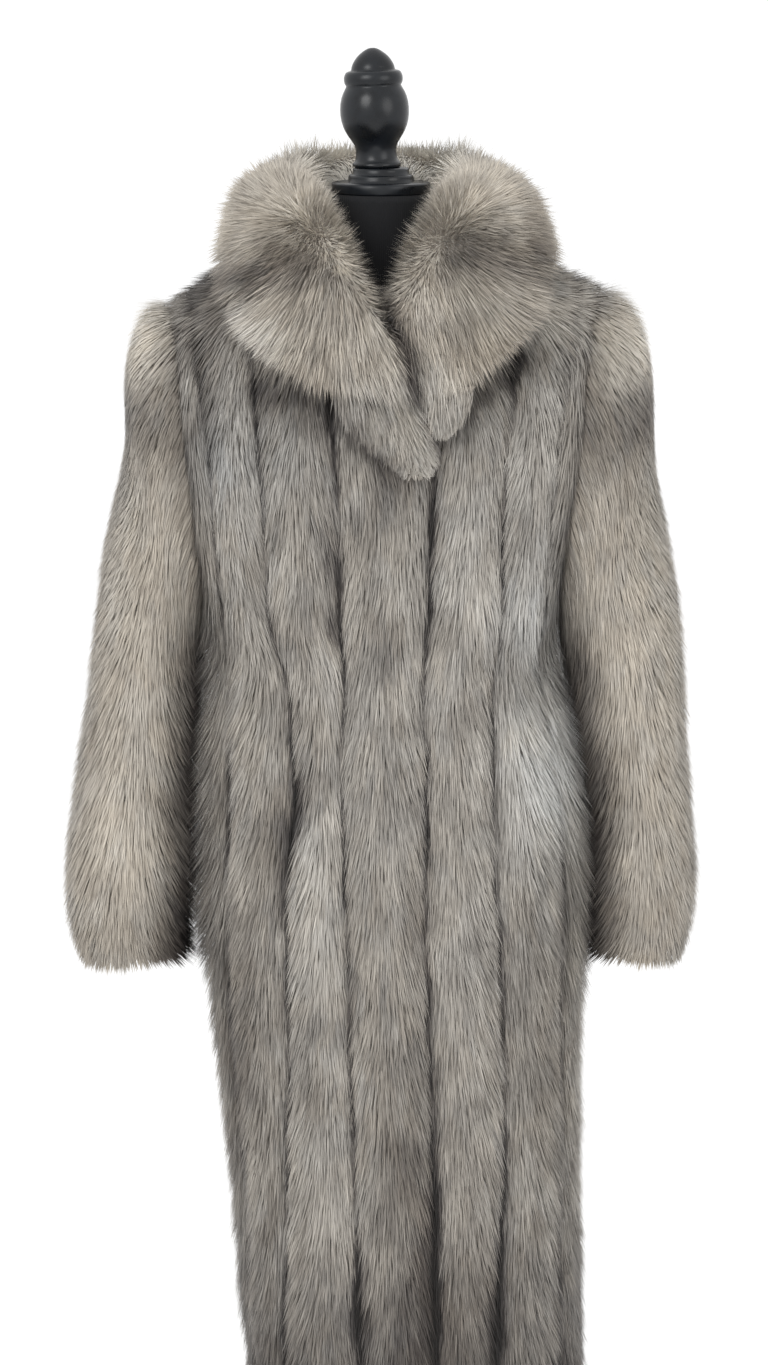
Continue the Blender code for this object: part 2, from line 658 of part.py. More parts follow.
# ---- Dress form ----
def add_form():
    rings = []
    for row in FORM:
        ring = []
        for k in range(FORM_SEGMENTS):
            turn = 2 * math.pi * k / FORM_SEGMENTS
            depth = row.back if math.sin(turn) > 0 else row.front
            ring.append((row.half_width * math.cos(turn), depth * math.sin(turn), row.z))
        rings.append(ring)
    return add_rings("form_torso", rings, "black_jersey")


def add_stand():
    add_turned("neck_cap", CAP, CAP_Z, LATHE_SEGMENTS, "black_lacquered_wood")
    finial_z = CAP_Z + CAP[-1].height + FINIAL_GAP
    finial = add_turned("finial", FINIAL, finial_z, LATHE_SEGMENTS, "black_lacquered_wood")
    finial.location.x = -FINIAL_SHIFT
    finial.rotation_euler = (0.0, -FINIAL_LEAN, 0.0)
    add_turned("base", BASE, 0.0, BASE_SEGMENTS, "black_lacquered_wood")
    pole_foot = BASE[-1].height + SEAM_GAP
    pole_top = FORM[0].z - SEAM_GAP
    pole_rows = (TurnedRow(0.0, POLE_RADIUS), TurnedRow(pole_top - pole_foot, POLE_RADIUS))
    add_turned("pole", pole_rows, pole_foot, POLE_SEGMENTS, "black_metal")


add_panel("front_right", -1, front_right_lines)
add_panel("front_left", -1, front_left_lines, underlap=True)
add_panel("back_right", 1, back_right_lines)
add_panel("back_left", 1, back_left_lines)
add_sleeve("sleeve_right", SLEEVE_RIGHT, -1)
add_sleeve("sleeve_left", SLEEVE_LEFT, 1)
add_collar()
add_lapel("lapel_right", LAPEL_RIGHT)
add_lapel("lapel_left", LAPEL_LEFT)
add_form()
add_stand()
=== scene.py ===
import math
from collections import namedtuple

import bpy
import numpy as np
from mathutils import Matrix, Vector
from mathutils.kdtree import KDTree


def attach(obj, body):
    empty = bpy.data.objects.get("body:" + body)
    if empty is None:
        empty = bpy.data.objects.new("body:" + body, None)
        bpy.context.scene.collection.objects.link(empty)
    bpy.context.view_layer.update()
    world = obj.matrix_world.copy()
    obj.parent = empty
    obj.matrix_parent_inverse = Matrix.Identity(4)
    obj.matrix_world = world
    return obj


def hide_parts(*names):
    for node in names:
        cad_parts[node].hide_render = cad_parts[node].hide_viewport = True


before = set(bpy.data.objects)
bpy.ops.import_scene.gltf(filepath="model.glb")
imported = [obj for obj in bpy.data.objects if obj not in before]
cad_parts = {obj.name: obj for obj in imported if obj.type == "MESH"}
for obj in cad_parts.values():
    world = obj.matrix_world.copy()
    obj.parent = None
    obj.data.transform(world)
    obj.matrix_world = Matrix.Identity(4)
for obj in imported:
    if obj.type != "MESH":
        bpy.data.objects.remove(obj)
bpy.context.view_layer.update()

# A full-length fur coat on a limbless dress form. Lengths are in metres.
# The coat's front faces -Y; right and left are the wearer's.

cameraPlace = {"x": 0.00285, "y": -2.8, "z": 1.72, "pitch": 13.5, "lens": 77.7}


def addObject(name, data):
    made = bpy.data.objects.new(name, data)
    bpy.context.scene.collection.objects.link(made)
    return made


def addCamera():
    data = bpy.data.cameras.new("camera")
    data.lens = cameraPlace["lens"]
    data.clip_end = 100
    made = addObject("camera", data)
    made.location = (cameraPlace["x"], cameraPlace["y"], cameraPlace["z"])
    made.rotation_euler = (math.radians(90 - cameraPlace["pitch"]), 0, 0)
    bpy.context.scene.camera = made


addCamera()

# Columns that aren't lengths; all the others are given in millimetres and kept in metres.
plainColumns = {"angle", "share", "full", "number", "tone", "warm", "lean"}


# Rows with named columns; a short row ends in zeros.
def makeTable(columns, *rows):
    Row = namedtuple("Row", columns)
    scales = [1 if name in plainColumns else 1000 for name in Row._fields]
    return [Row(*(value / scale for value, scale in zip(row + (0,) * len(scales), scales))) for row in rows]


# An sRGB hex colour as the linear one that a shader takes.
def linear(hexColour):
    parts = [int(hexColour[i:i + 2], 16) / 255 for i in (1, 3, 5)]
    return tuple(p / 12.92 if p <= 0.04045 else ((p + 0.055) / 1.055) ** 2.4 for p in parts) + (1.0,)


def addNode(tree, kind, settings=None, inputs=None):
    node = tree.nodes.new(kind)
    for name, value in (settings or {}).items():
        setattr(node, name, value)
    for key, value in (inputs or {}).items():
        if isinstance(value, bpy.types.NodeSocket):
            tree.links.new(value, node.inputs[key])
        else:
            node.inputs[key].default_value = value
    return node


# The coat's form, as the frame has it.
coatForm = {
    "sectionPower": 2.4,
    "domePower": 2.2,
    "neckFade": 4.0,
    "sideTopZ": 1.100,
    "underarmRise": 1.8,
    "armholeDepth": 0.085,
    "shoulderPuff": 0.010,
    "neckLean": 0.6,
    "centreShare": 0.0014,
    "backPelts": 5,
    "skinInset": 0.0125,   # the skin's outer face, in from the ends of the hair
    "rootInset": 0.0135,
    "endInset": 0.0005,
    "groove": 0.0085,      # dip between two pelts, at the ends of the hair
    "skinGroove": 0.005,
    "pelt": 0.007,         # skin and packed underfur
    "lowerRows": 40,
    "upperRows": 30,
    "perPelt": 12,
}
underarmZ = 1.130
neckShare = 0.41
seamGap = 0.0003

bodyTable = makeTable(
    "z right left front back closure seam1 seam2 seam3",
    (180, 136, 216, 170, 160, 57, -21, -103, 119),
    (300, 139, 213, 168, 158, 57, -21, -102, 119),
    (420, 150, 209, 166, 155, 56, -22, -102, 118),
    (540, 156, 206, 163, 151, 54, -25, -98, 123),
    (660, 168, 204, 161, 147, 50, -28, -95, 126),
    (780, 177, 205, 159, 143, 46, -32, -94, 120),
    (900, 178, 204, 156, 138, 44, -36, -91, 114),
    (1000, 176, 190, 152, 130, 45, -40, -84, 112),
    (1070, 171, 173, 150, 124, 43, -38, -90, 111),
    (1130, 165, 168, 149, 120, 44, -37, -104, 111),
)
neckTable = makeTable(
    "angle radius z",
    (0, 118, 1365),
    (12, 108, 1385),
    (25, 97, 1415),
    (40, 88, 1443),
    (55, 83, 1462),
    (70, 81, 1474),
    (90, 80, 1480),
    (120, 76, 1483),
    (150, 72, 1485),
    (180, 70, 1485),
)
armholeRight, armholeLeft = makeTable("underX shoulderX shoulderZ", (165, 192, 1430), (168, 196, 1440))


def lerp(start, end, share):
    return start + (end - start) * share


# How far a value has gone from 0 to a width, as 0 to 1.
def fade(value, width):
    return np.clip(value / width, 0, 1)


# A smooth curve through a table's rows: it takes a key and gives the row there.
def makeCurve(rows):
    values = np.array(rows, dtype=float)
    keys = values[:, 0]
    slopes = np.gradient(values, keys, axis=0)
    kind = type(rows[0])

    def at(key):
        first = int(np.clip(np.searchsorted(keys, key) - 1, 0, len(keys) - 2))
        step = keys[first + 1] - keys[first]
        share = (key - keys[first]) / step
        mixed = (1 + 2 * share) * (1 - share) ** 2 * values[first]
        mixed += share ** 2 * (3 - 2 * share) * values[first + 1]
        mixed += share * (1 - share) ** 2 * step * slopes[first]
        mixed += share ** 2 * (share - 1) * step * slopes[first + 1]
        return kind(*mixed)

    return at


bodyAt = makeCurve(bodyTable)
neckAt = makeCurve(neckTable)


def section(share, depth, edgeDepth=0.0):
    power = coatForm["sectionPower"]
    leftOver = (edgeDepth / depth) ** power
    inside = 1 - (1 - leftOver) * abs(share) ** power
    return depth * max(inside, 0.0) ** (1 / power)


def turnOf(share):
    return math.copysign(math.asin(min(abs(share) ** (coatForm["sectionPower"] / 2), 1.0)), share)


def shareOf(turn):
    return math.copysign(abs(math.sin(turn)) ** (2 / coatForm["sectionPower"]), turn)


def armholeX(across, z):
    hole = armholeLeft if across > 0 else armholeRight
    return lerp(hole.underX, hole.shoulderX, (z - underarmZ) / (hole.shoulderZ - underarmZ))


def keepOffSeam(y, face):
    return face * max(abs(y), seamGap / 2)


def lowerPoint(face, across, z, inset):
    row = bodyAt(z)
    half = row.left if across > 0 else row.right
    depth = row.front if face < 0 else row.back
    y = face * section(across, depth - inset)
    return (across * (half - inset), keepOffSeam(y, face), z)


def topPoint(face, across, inset):
    side = math.copysign(1.0, across)
    reach = abs(across)
    hole = armholeLeft if across > 0 else armholeRight
    lean = inset * coatForm["neckLean"]
    if reach < neckShare:
        angle = 90 * reach / neckShare
        neck = neckAt(angle if face < 0 else 180 - angle)
        turn = math.radians(angle)
        radius = neck.radius - lean
        z = neck.z - inset * lerp(0.5, 1.0, (reach / neckShare) ** 2)
        return (side * radius * math.sin(turn), face * radius * math.cos(turn), z)
    neck = neckAt(90)
    share = (reach - neckShare) / (1 - neckShare)
    puff = coatForm["shoulderPuff"] * math.sin(math.pi * share)
    x = side * lerp(neck.radius - lean, hole.shoulderX, share)
    return (x, 0.0, lerp(neck.z, hole.shoulderZ, share) + puff - inset)


def upperPoint(face, across, rise, inset):
    side = math.copysign(1.0, across)
    reach = abs(across)
    under = bodyAt(underarmZ)
    power = coatForm["domePower"]
    depth = (under.front if face < 0 else under.back) - inset
    topX, topY, topZ = topPoint(face, across, inset)
    z = lerp(underarmZ + inset * coatForm["underarmRise"] * reach ** 8, topZ, rise)
    shoulderDome = max(1 - rise ** power, 0.0) ** (1 / power)
    dome = lerp(1 - rise ** coatForm["neckFade"], shoulderDome, min(reach / neckShare, 1.0) ** 2)
    holeDepth = (coatForm["armholeDepth"] - inset) * 2 * math.sqrt(max(rise * (1 - rise), 0.0))
    edgeDepth = holeDepth / shoulderDome if rise < 1 else 0.0
    y = face * section(reach, depth, edgeDepth) * dome + topY * (1 - dome)
    pull = (topX - side * reach * armholeX(across, topZ)) * rise ** 2
    x = side * reach * (armholeX(across, z) - seamGap / 2) + pull * (1 - reach ** 8)
    return (x, keepOffSeam(y, face), z)


def bodyPoint(face, across, z, rise, inset):
    return lowerPoint(face, across, z, inset) if rise is None else upperPoint(face, across, rise, inset)


# A seam line down the body: its share across below the underarm, its share at the top, how late it bends there.
Line = namedtuple("Line", "low high bend")


def frontRightLines(z):
    row = bodyAt(min(z, underarmZ))
    middle = shareOf((turnOf(-row.seam2 / row.right) + math.pi / 2) / 2)
    return (
        Line(-1.0, -1.0, 1.0),
        Line(-middle, -0.86, 1.0),
        Line(row.seam2 / row.right, -0.62, 1.0),
        Line(row.seam1 / row.right, -0.20, 1.5),
        Line(row.closure / row.left, 0.02, 4.0),
    )


def frontLeftLines(z):
    row = bodyAt(min(z, underarmZ))
    middle = shareOf((turnOf(row.seam3 / row.left) + math.pi / 2) / 2)
    return (
        Line(row.closure / row.left, 0.02, 4.0),
        Line(row.seam3 / row.left, 0.62, 1.0),
        Line(middle, 0.88, 1.0),
        Line(1.0, 1.0, 1.0),
    )


def backRightLines(z):
    pelts = coatForm["backPelts"]
    shares = [-shareOf(k / pelts * math.pi / 2) for k in range(pelts, 0, -1)] + [-coatForm["centreShare"]]
    return [Line(share, share, 1.0) for share in shares]


def backLeftLines(z):
    return [Line(-line.low, -line.high, line.bend) for line in reversed(backRightLines(z))]


# Each column of a panel at one height: its share across, how full the pelt is there, and -1 to 1 across it.
def peltColumns(lines, rise):
    turns = [turnOf(lerp(line.low, line.high, rise ** line.bend)) for line in lines]
    count = coatForm["perPelt"]
    columns = []
    for start, end in zip(turns, turns[1:]):
        for k in range(count):
            full = math.sin(math.pi * k / count) ** 0.55
            columns.append((shareOf(lerp(start, end, k / count)), full, 2 * k / count - 1))
    columns.append((shareOf(turns[-1]), 0.0, 1.0))
    return columns


def bodyRows():
    lower = [(z, None) for z in np.linspace(hair["foot"], coatForm["sideTopZ"], coatForm["lowerRows"])]
    angles = np.linspace(0, math.pi, coatForm["upperRows"])
    return lower + [(underarmZ, (1 - math.cos(angle)) / 2) for angle in angles]


# The fur closes over the armhole seams, where the dip is slight.
def filled(across, full, rise):
    if rise is None:
        return full
    near = min(max((abs(across) - 0.88) / 0.12, 0.0), 1.0) * min(rise * 6, 1.0)
    return lerp(full, 1.0, 0.8 * near)


# A panel's grid at an inset from the hair's ends, and each point's share, fullness and place across the pelt.
def panelGrid(face, linesAt, inset, groove):
    grid = []
    columns = []
    for z, rise in bodyRows():
        row = [(a, filled(a, f, rise), u) for a, f, u in peltColumns(linesAt(z), rise or 0.0)]
        grid.append([bodyPoint(face, a, z, rise, inset + groove * (1 - f)) for a, f, u in row])
        columns.append(row)
    return np.array(grid), np.array(columns)


underlapForm = {"width": 0.040, "narrowing": 0.85, "step": 0.002, "wall": 0.0205, "gap": 0.001}


# The left front steps in behind the right front's edge and runs on under it.
def underlapColumns(z, rise):
    row = bodyAt(min(z, underarmZ))
    edge = peltColumns(frontLeftLines(z), rise)[0][0]
    width = underlapForm["width"] / row.left * (1 - underlapForm["narrowing"] * rise ** 2)
    step = underlapForm["step"] / row.left
    under = underlapForm["wall"] + underlapForm["gap"] * (1 + 3 * rise ** 4)
    return [(edge - width, under), (edge - width / 2, under), (edge + step, under)], edge + 3 * step


# A sleeve's rings from armhole to cuff: the ends of its inner and outer side, half its depth, its middle.
def sleeveTable(*rows):
    numbered = [(number, *row) for number, row in enumerate(rows)]
    return makeTable("number innerX innerZ outerX outerZ depth middleY", *numbered)


sleeveRightTable = sleeveTable(
    (165, 1130, 192, 1430, 85, 0),
    (167, 1124, 214, 1423, 86, 0),
    (169, 1118, 232, 1399, 86, 0),
    (171, 1112, 241, 1373, 84, -1),
    (172.5, 1106, 244, 1341, 82, -2),
    (174, 1100, 243, 1305, 80, -3),
    (175, 1094, 247, 1270, 78, -4),
    (176, 1088, 259, 1229, 74, -6),
    (177, 1080, 269, 1182, 70, -8),
    (178, 1068, 277, 1130, 67, -10),
    (179, 1046, 285, 1072, 66, -12),
    (181.5, 1000, 294, 1005, 67, -14),
    (185, 940, 305, 938, 69, -15),
    (189, 875, 313, 868, 71, -15),
    (193, 830, 312, 820, 71, -15),
    (199, 797, 305, 789, 68, -14),
    (208, 779, 294, 774, 61, -14),
)
sleeveLeftTable = sleeveTable(
    (168, 1130, 196, 1440, 85, 0),
    (170.6, 1124, 216, 1437, 86, 0),
    (172.1, 1118, 235, 1421, 86, 0),
    (173, 1112, 249, 1398, 85, 0),
    (174.5, 1105, 257, 1367, 83, -1),
    (176, 1098, 260, 1330, 81, -2),
    (177.5, 1090, 261, 1290, 78, -3),
    (179, 1082, 266, 1249, 75, -4),
    (181, 1072, 277, 1203, 71, -6),
    (184, 1060, 287, 1147, 68, -8),
    (188, 1038, 296, 1078, 66, -9),
    (195, 990, 301, 1000, 66, -10),
    (204, 930, 307, 926, 67, -10),
    (208.5, 865, 313, 860, 68, -10),
    (210, 825, 311, 817, 67, -10),
    (212, 797, 305, 789, 64, -10),
    (219, 779, 294, 774, 58, -10),
)
sleeveForm = {"rows": 64, "round": 52, "lastRow": 15.1, "pelt": 0.0065}


# One ring of a sleeve, at an inset from the hair's ends; the ring's first point is its outermost.
def sleeveRing(row, side, inset):
    inner = np.array((row.innerX, row.innerZ))
    outer = np.array((row.outerX, row.outerZ))
    length = np.linalg.norm(outer - inner)
    along = (outer - inner) / length
    middle = (inner + outer) / 2
    ring = []
    for k in range(sleeveForm["round"]):
        turn = 2 * math.pi * k / sleeveForm["round"]
        x, z = middle + along * (length / 2 - inset) * math.cos(turn)
        ring.append((side * x, row.middleY + (row.depth - inset) * math.sin(turn), z))
    return ring


def sleeveGrid(table, side, inset):
    at = makeCurve(table)
    grid = []
    for number in np.linspace(0, sleeveForm["lastRow"], sleeveForm["rows"]):
        row = at(number)
        if number == 0:
            row = row._replace(innerX=row.innerX + seamGap / 2, outerX=row.outerX + seamGap / 2)
        dip = 0.2 * coatForm["groove"] * max(0.0, 1 - number) ** 2
        grid.append(sleeveRing(row, side, inset + dip))
    return np.array(grid)


collarTable = makeTable(
    "angle crestRadius crestZ edgeRadius edgeZ wall lift",
    (0, 132, 1405, 163, 1362, 21, 3),
    (12, 120, 1450, 163, 1361, 24, 2.5),
    (25, 109, 1492, 163, 1366, 26, 1.5),
    (40, 102, 1519, 164, 1383, 28, 1),
    (55, 99, 1530, 158, 1416, 28, 0.6),
    (70, 98, 1533, 145, 1458, 28, 0.4),
    (90, 99, 1533, 136, 1476, 28, 0.3),
    (120, 98, 1540, 138, 1455, 28, 0.3),
    (150, 92, 1545, 138, 1412, 28, 0.3),
    (180, 88, 1548, 137, 1395, 28, 0.3),
)
collarForm = {
    "rightEnd": -2.0,
    "leftEnd": 357.0,
    "leftSpread": 0.014,
    "lean": 7.5,
    "leanFade": 25.0,
    "crestShare": 0.48,
    "standWall": 0.020,
    "standBow": 0.012,
    "rings": 124,
    "shares": 40,
    "lastShare": 0.965,
    "skinOut": 0.003,      # the skin's outer face, out from the fold's middle
    "skinRelief": 0.6,
    "pelt": 0.006,
    "rootInset": 0.001,
}
collarAt = makeCurve(collarTable)
collarShares = np.linspace(0, collarForm["lastShare"], collarForm["shares"])
collarAngles = np.linspace(collarForm["rightEnd"], collarForm["leftEnd"], collarForm["rings"])


def fromFrontOf(angle):
    return np.minimum(angle % 360, -angle % 360)


# One section of the folded collar, from the neck seam over the crest to the edge: middle, outward, half wall.
def collarSection(angle):
    fromFront = fromFrontOf(angle)
    neck = neckAt(fromFront)
    row = collarAt(fromFront)
    spread = collarForm["leftSpread"] * math.sin(math.radians(fromFront)) ** 2 if angle > 180 else 0.0
    seam = np.array((neck.radius - collarForm["standWall"] / 2, neck.z + row.lift))
    crest = np.array((row.crestRadius, row.crestZ))
    edge = np.array((row.edgeRadius + spread, row.edgeZ))
    handles = (crest - (seam + edge) / 8) / 0.75
    first = np.array((seam[0] - collarForm["standBow"], handles[1]))
    second = np.array((2 * handles[0] - first[0], handles[1]))
    points = []
    for s in collarShares:
        r = 1 - s
        middle = r ** 3 * seam + 3 * r ** 2 * s * first + 3 * r * s ** 2 * second + s ** 3 * edge
        slope = 3 * r ** 2 * (first - seam) + 6 * r * s * (second - first) + 3 * s ** 2 * (edge - second)
        slope = slope / np.linalg.norm(slope) if s > 0 else np.array((0.0, 1.0))
        half = lerp(collarForm["standWall"], row.wall, min(2 * s, 1.0)) / 2
        points.append((middle, np.array((-slope[1], slope[0])), half))
    return points


def collarGrid(offset):
    grid = []
    for angle in collarAngles:
        lean = collarForm["lean"] * math.exp(-(fromFrontOf(angle) / collarForm["leanFade"]) ** 2)
        line = []
        for s, (middle, outward, half) in zip(collarShares, collarSection(angle)):
            down = max(s - collarForm["crestShare"], 0.0) / (1 - collarForm["crestShare"])
            turn = math.radians(angle - lean * down)
            radius, z = middle + outward * offset
            line.append((-radius * math.sin(turn), -radius * math.cos(turn), z))
        grid.append(line)
    return np.array(grid)


lapelRightTable = makeTable(
    "z fromX toX off wall",
    (1266, 31, 43, 1, 8),
    (1280, 17.5, 47.5, 1, 15),
    (1294, 6, 48.5, 3, 20),
    (1310, -8, 47, 7, 23),
    (1326, -21, 41, 12, 24),
    (1338, -30, 36, 17, 24),
    (1350, -38, 31, 21, 23),
    (1358, -43, 27.5, 24, 22),
)
lapelLeftTable = makeTable(
    "z fromX toX off wall",
    (1302, 51.5, 56, 4, 9),
    (1311, 49, 61, 7, 17),
    (1321, 45, 67, 10, 22),
    (1331, 41, 72.5, 13, 23),
    (1342, 36.2, 77.5, 18, 23),
    (1350, 32.5, 81.5, 21, 23),
    (1358, 29, 86, 24, 21),
)
# How far out of the front a lapel's layers lie, as shares of its full wall.
lapelForm = {"rows": 18, "columns": 14, "skin": 0.35, "inside": 0.0, "roots": 0.30, "ends": 0.95}
lapelProfile = makeCurve(makeTable(
    "share full", (0.0, 0.35), (0.15, 0.75), (0.4, 1.0), (0.65, 1.0), (0.88, 0.75), (1.0, 0.35)))


def frontSkin(x, z, out):
    across = x / armholeX(x, z)
    topZ = topPoint(-1, across, 0.0)[2]
    rise = (z - underarmZ) / (topZ - underarmZ)
    return (x, upperPoint(-1, across, min(rise, 1.0), 0.0)[1] - out, z)


# A lapel's grid, as a share of its full wall out from the front that it lies on.
def lapelGrid(table, tipTrim, wallShare):
    at = makeCurve(table)
    grid = []
    for z in np.linspace(table[0].z + tipTrim, table[-1].z, lapelForm["rows"]):
        row = at(z)
        line = []
        for share in np.linspace(0, 1, lapelForm["columns"]):
            out = row.off + row.wall * lapelProfile(share).full * wallShare
            line.append(frontSkin(lerp(row.fromX, row.toX, share), z, out))
        grid.append(line)
    return np.array(grid)


print("stage: materials")


def newMaterial(name, values):
    made = bpy.data.materials.new(name)
    made.use_nodes = True
    shader = made.node_tree.nodes["Principled BSDF"]
    for key, value in values.items():
        shader.inputs[key].default_value = value
    return made, made.node_tree, shader


def rampNode(tree, factor, stops):
    node = addNode(tree, "ShaderNodeValToRGB", inputs={"Fac": factor})
    ramp = node.color_ramp
    while len(ramp.elements) > 1:
        ramp.elements.remove(ramp.elements[-1])
    ramp.elements[0].position, ramp.elements[0].color = stops[0][0], linear(stops[0][1])
    for position, colour in stops[1:]:
        ramp.elements.new(position).color = linear(colour)
    return node.outputs["Color"]


def placeNode(tree):
    return addNode(tree, "ShaderNodeTexCoord").outputs["Object"]


def noiseNode(tree, place, scale, detail, roughness=0.5):
    inputs = {"Vector": place, "Scale": scale, "Detail": detail, "Roughness": roughness}
    return addNode(tree, "ShaderNodeTexNoise", inputs=inputs).outputs["Fac"]


def bandsNode(tree, place, way, scale, distortion, detail):
    inputs = {"Vector": place, "Scale": scale, "Distortion": distortion, "Detail": detail}
    return addNode(tree, "ShaderNodeTexWave", {"wave_type": "BANDS", "bands_direction": way}, inputs).outputs


def mixNode(tree, inputs, blend="MIX"):
    return addNode(tree, "ShaderNodeMix", {"data_type": "RGBA", "blend_type": blend}, inputs).outputs[2]


# Gives a surface its colour, and a bump of a height in metres.
def finishSurface(tree, shader, colour, height, strength, distance):
    tree.links.new(colour, shader.inputs["Base Color"])
    inputs = {"Strength": strength, "Distance": distance, "Height": height}
    bump = addNode(tree, "ShaderNodeBump", inputs=inputs)
    tree.links.new(bump.outputs["Normal"], shader.inputs["Normal"])


# Guard hair like a silver fox's: pale shafts, charcoal roots deepened with painted shade, and some charcoal
# tips, dull, with a faint sheen.
# Its colour is a function of the hair's own shade and warmth alone.
furColours = {
    "cool": ((0.0, "#1a1a1b"), (0.22, "#4a4a4b"), (0.45, "#8a8b8b"), (0.70, "#bfc0bf"), (1.0, "#eff0ee")),
    "warm": ((0.0, "#1c1815"), (0.22, "#504842"), (0.45, "#92887b"), (0.70, "#cac0b0"), (1.0, "#f6eddd")),
}


def makeFurMaterial():
    made, tree, shader = newMaterial("fox_fur_guard_hair", {
        "Roughness": 0.62, "Specular IOR Level": 0.25, "Sheen Weight": 0.12, "Sheen Roughness": 0.45})
    shade = addNode(tree, "ShaderNodeAttribute", {"attribute_name": "shade"}).outputs["Fac"]
    warmth = addNode(tree, "ShaderNodeAttribute", {"attribute_name": "warmth"}).outputs["Fac"]
    cool = rampNode(tree, shade, furColours["cool"])
    warm = rampNode(tree, shade, furColours["warm"])
    tree.links.new(mixNode(tree, {"Factor": warmth, 6: cool, 7: warm}), shader.inputs["Base Color"])
    return made


# The skin with its packed underfur: felted, dull, blotched at a lock's width, darker than the hair over it.
def makeUnderfurMaterial():
    made, tree, shader = newMaterial("fox_underfur", {"Roughness": 0.95, "Specular IOR Level": 0.1})
    stretch = addNode(tree, "ShaderNodeMapping", inputs={"Vector": placeNode(tree), "Scale": (1, 1, 0.25)})
    blotches = noiseNode(tree, stretch.outputs[0], 260, 4, 0.65)
    colour = rampNode(tree, blotches, ((0.30, "#716b64"), (0.55, "#958e85"), (0.75, "#aca59a")))
    finishSurface(tree, shader, colour, blotches, 0.6, 0.002)
    return made


# The inside: dressed skin, suede-like and dark, with the faint wavy lines of the let-out cuts 18 mm apart.
def makeSkinMaterial():
    made, tree, shader = newMaterial("dressed_skin_side", {"Roughness": 0.85})
    place = placeNode(tree)
    grain = noiseNode(tree, place, 420, 3)
    cuts = bandsNode(tree, place, "DIAGONAL", 20, 1.5, 1)["Color"]
    colour = rampNode(tree, grain, ((0.3, "#2b2725"), (0.7, "#453f3a")))
    colour = mixNode(tree, {"Factor": 0.35, 6: colour, 7: cuts}, "MULTIPLY")
    finishSurface(tree, shader, colour, grain, 0.3, 0.0008)
    return made


furMaterial = makeFurMaterial()
underfurMaterial = makeUnderfurMaterial()
skinMaterial = makeSkinMaterial()


print("stage: hair tree")


def addMesh(name, points, faces, materials=(), smooth=True):
    mesh = bpy.data.meshes.new(name)
    mesh.from_pydata(np.reshape(points, (-1, 3)).tolist(), [], faces)
    for material in materials:
        mesh.materials.append(material)
    if smooth:
        mesh.shade_smooth()
    return addObject(name, mesh)


# One hair: a narrow two-faced blade that bows outward, 1 long, 1 wide; "along" runs from its root to its tip.
def makeStrand():
    points = [(0, 0, 0), (-0.5, 1, 0.48), (0.5, 1, 0.48), (0, 0.1, 1)]
    made = addMesh("strand", points, [(0, 2, 1), (1, 2, 3)])
    for name, values in {"along": (0, 0.48, 0.48, 1), "side": (0, -1, 1, 0)}.items():
        made.data.attributes.new(name, "FLOAT", "POINT").data.foreach_set("value", values)
    return made


strand = makeStrand()

furSizes = {
    "Density": 300000.0, "Width": 0.0010, "Bow": 0.0016, "Lock Size": 0.012, "Lock Stretch": 0.5,
    "Lock Pull": 0.06, "Lock Tone": 0.075, "Hair Tone": 0.055, "Swirl": 0.50, "Stray": 0.08,
    "Lift Spread": 0.05, "Root Shade": -0.05, "Tip Shade": -0.12, "Mottle": 0.42, "Roll": 0.12,
}
furInputs = {**dict.fromkeys(furSizes, "Float"), "Seed": "Int", "Strand": "Object", "Material": "Material"}


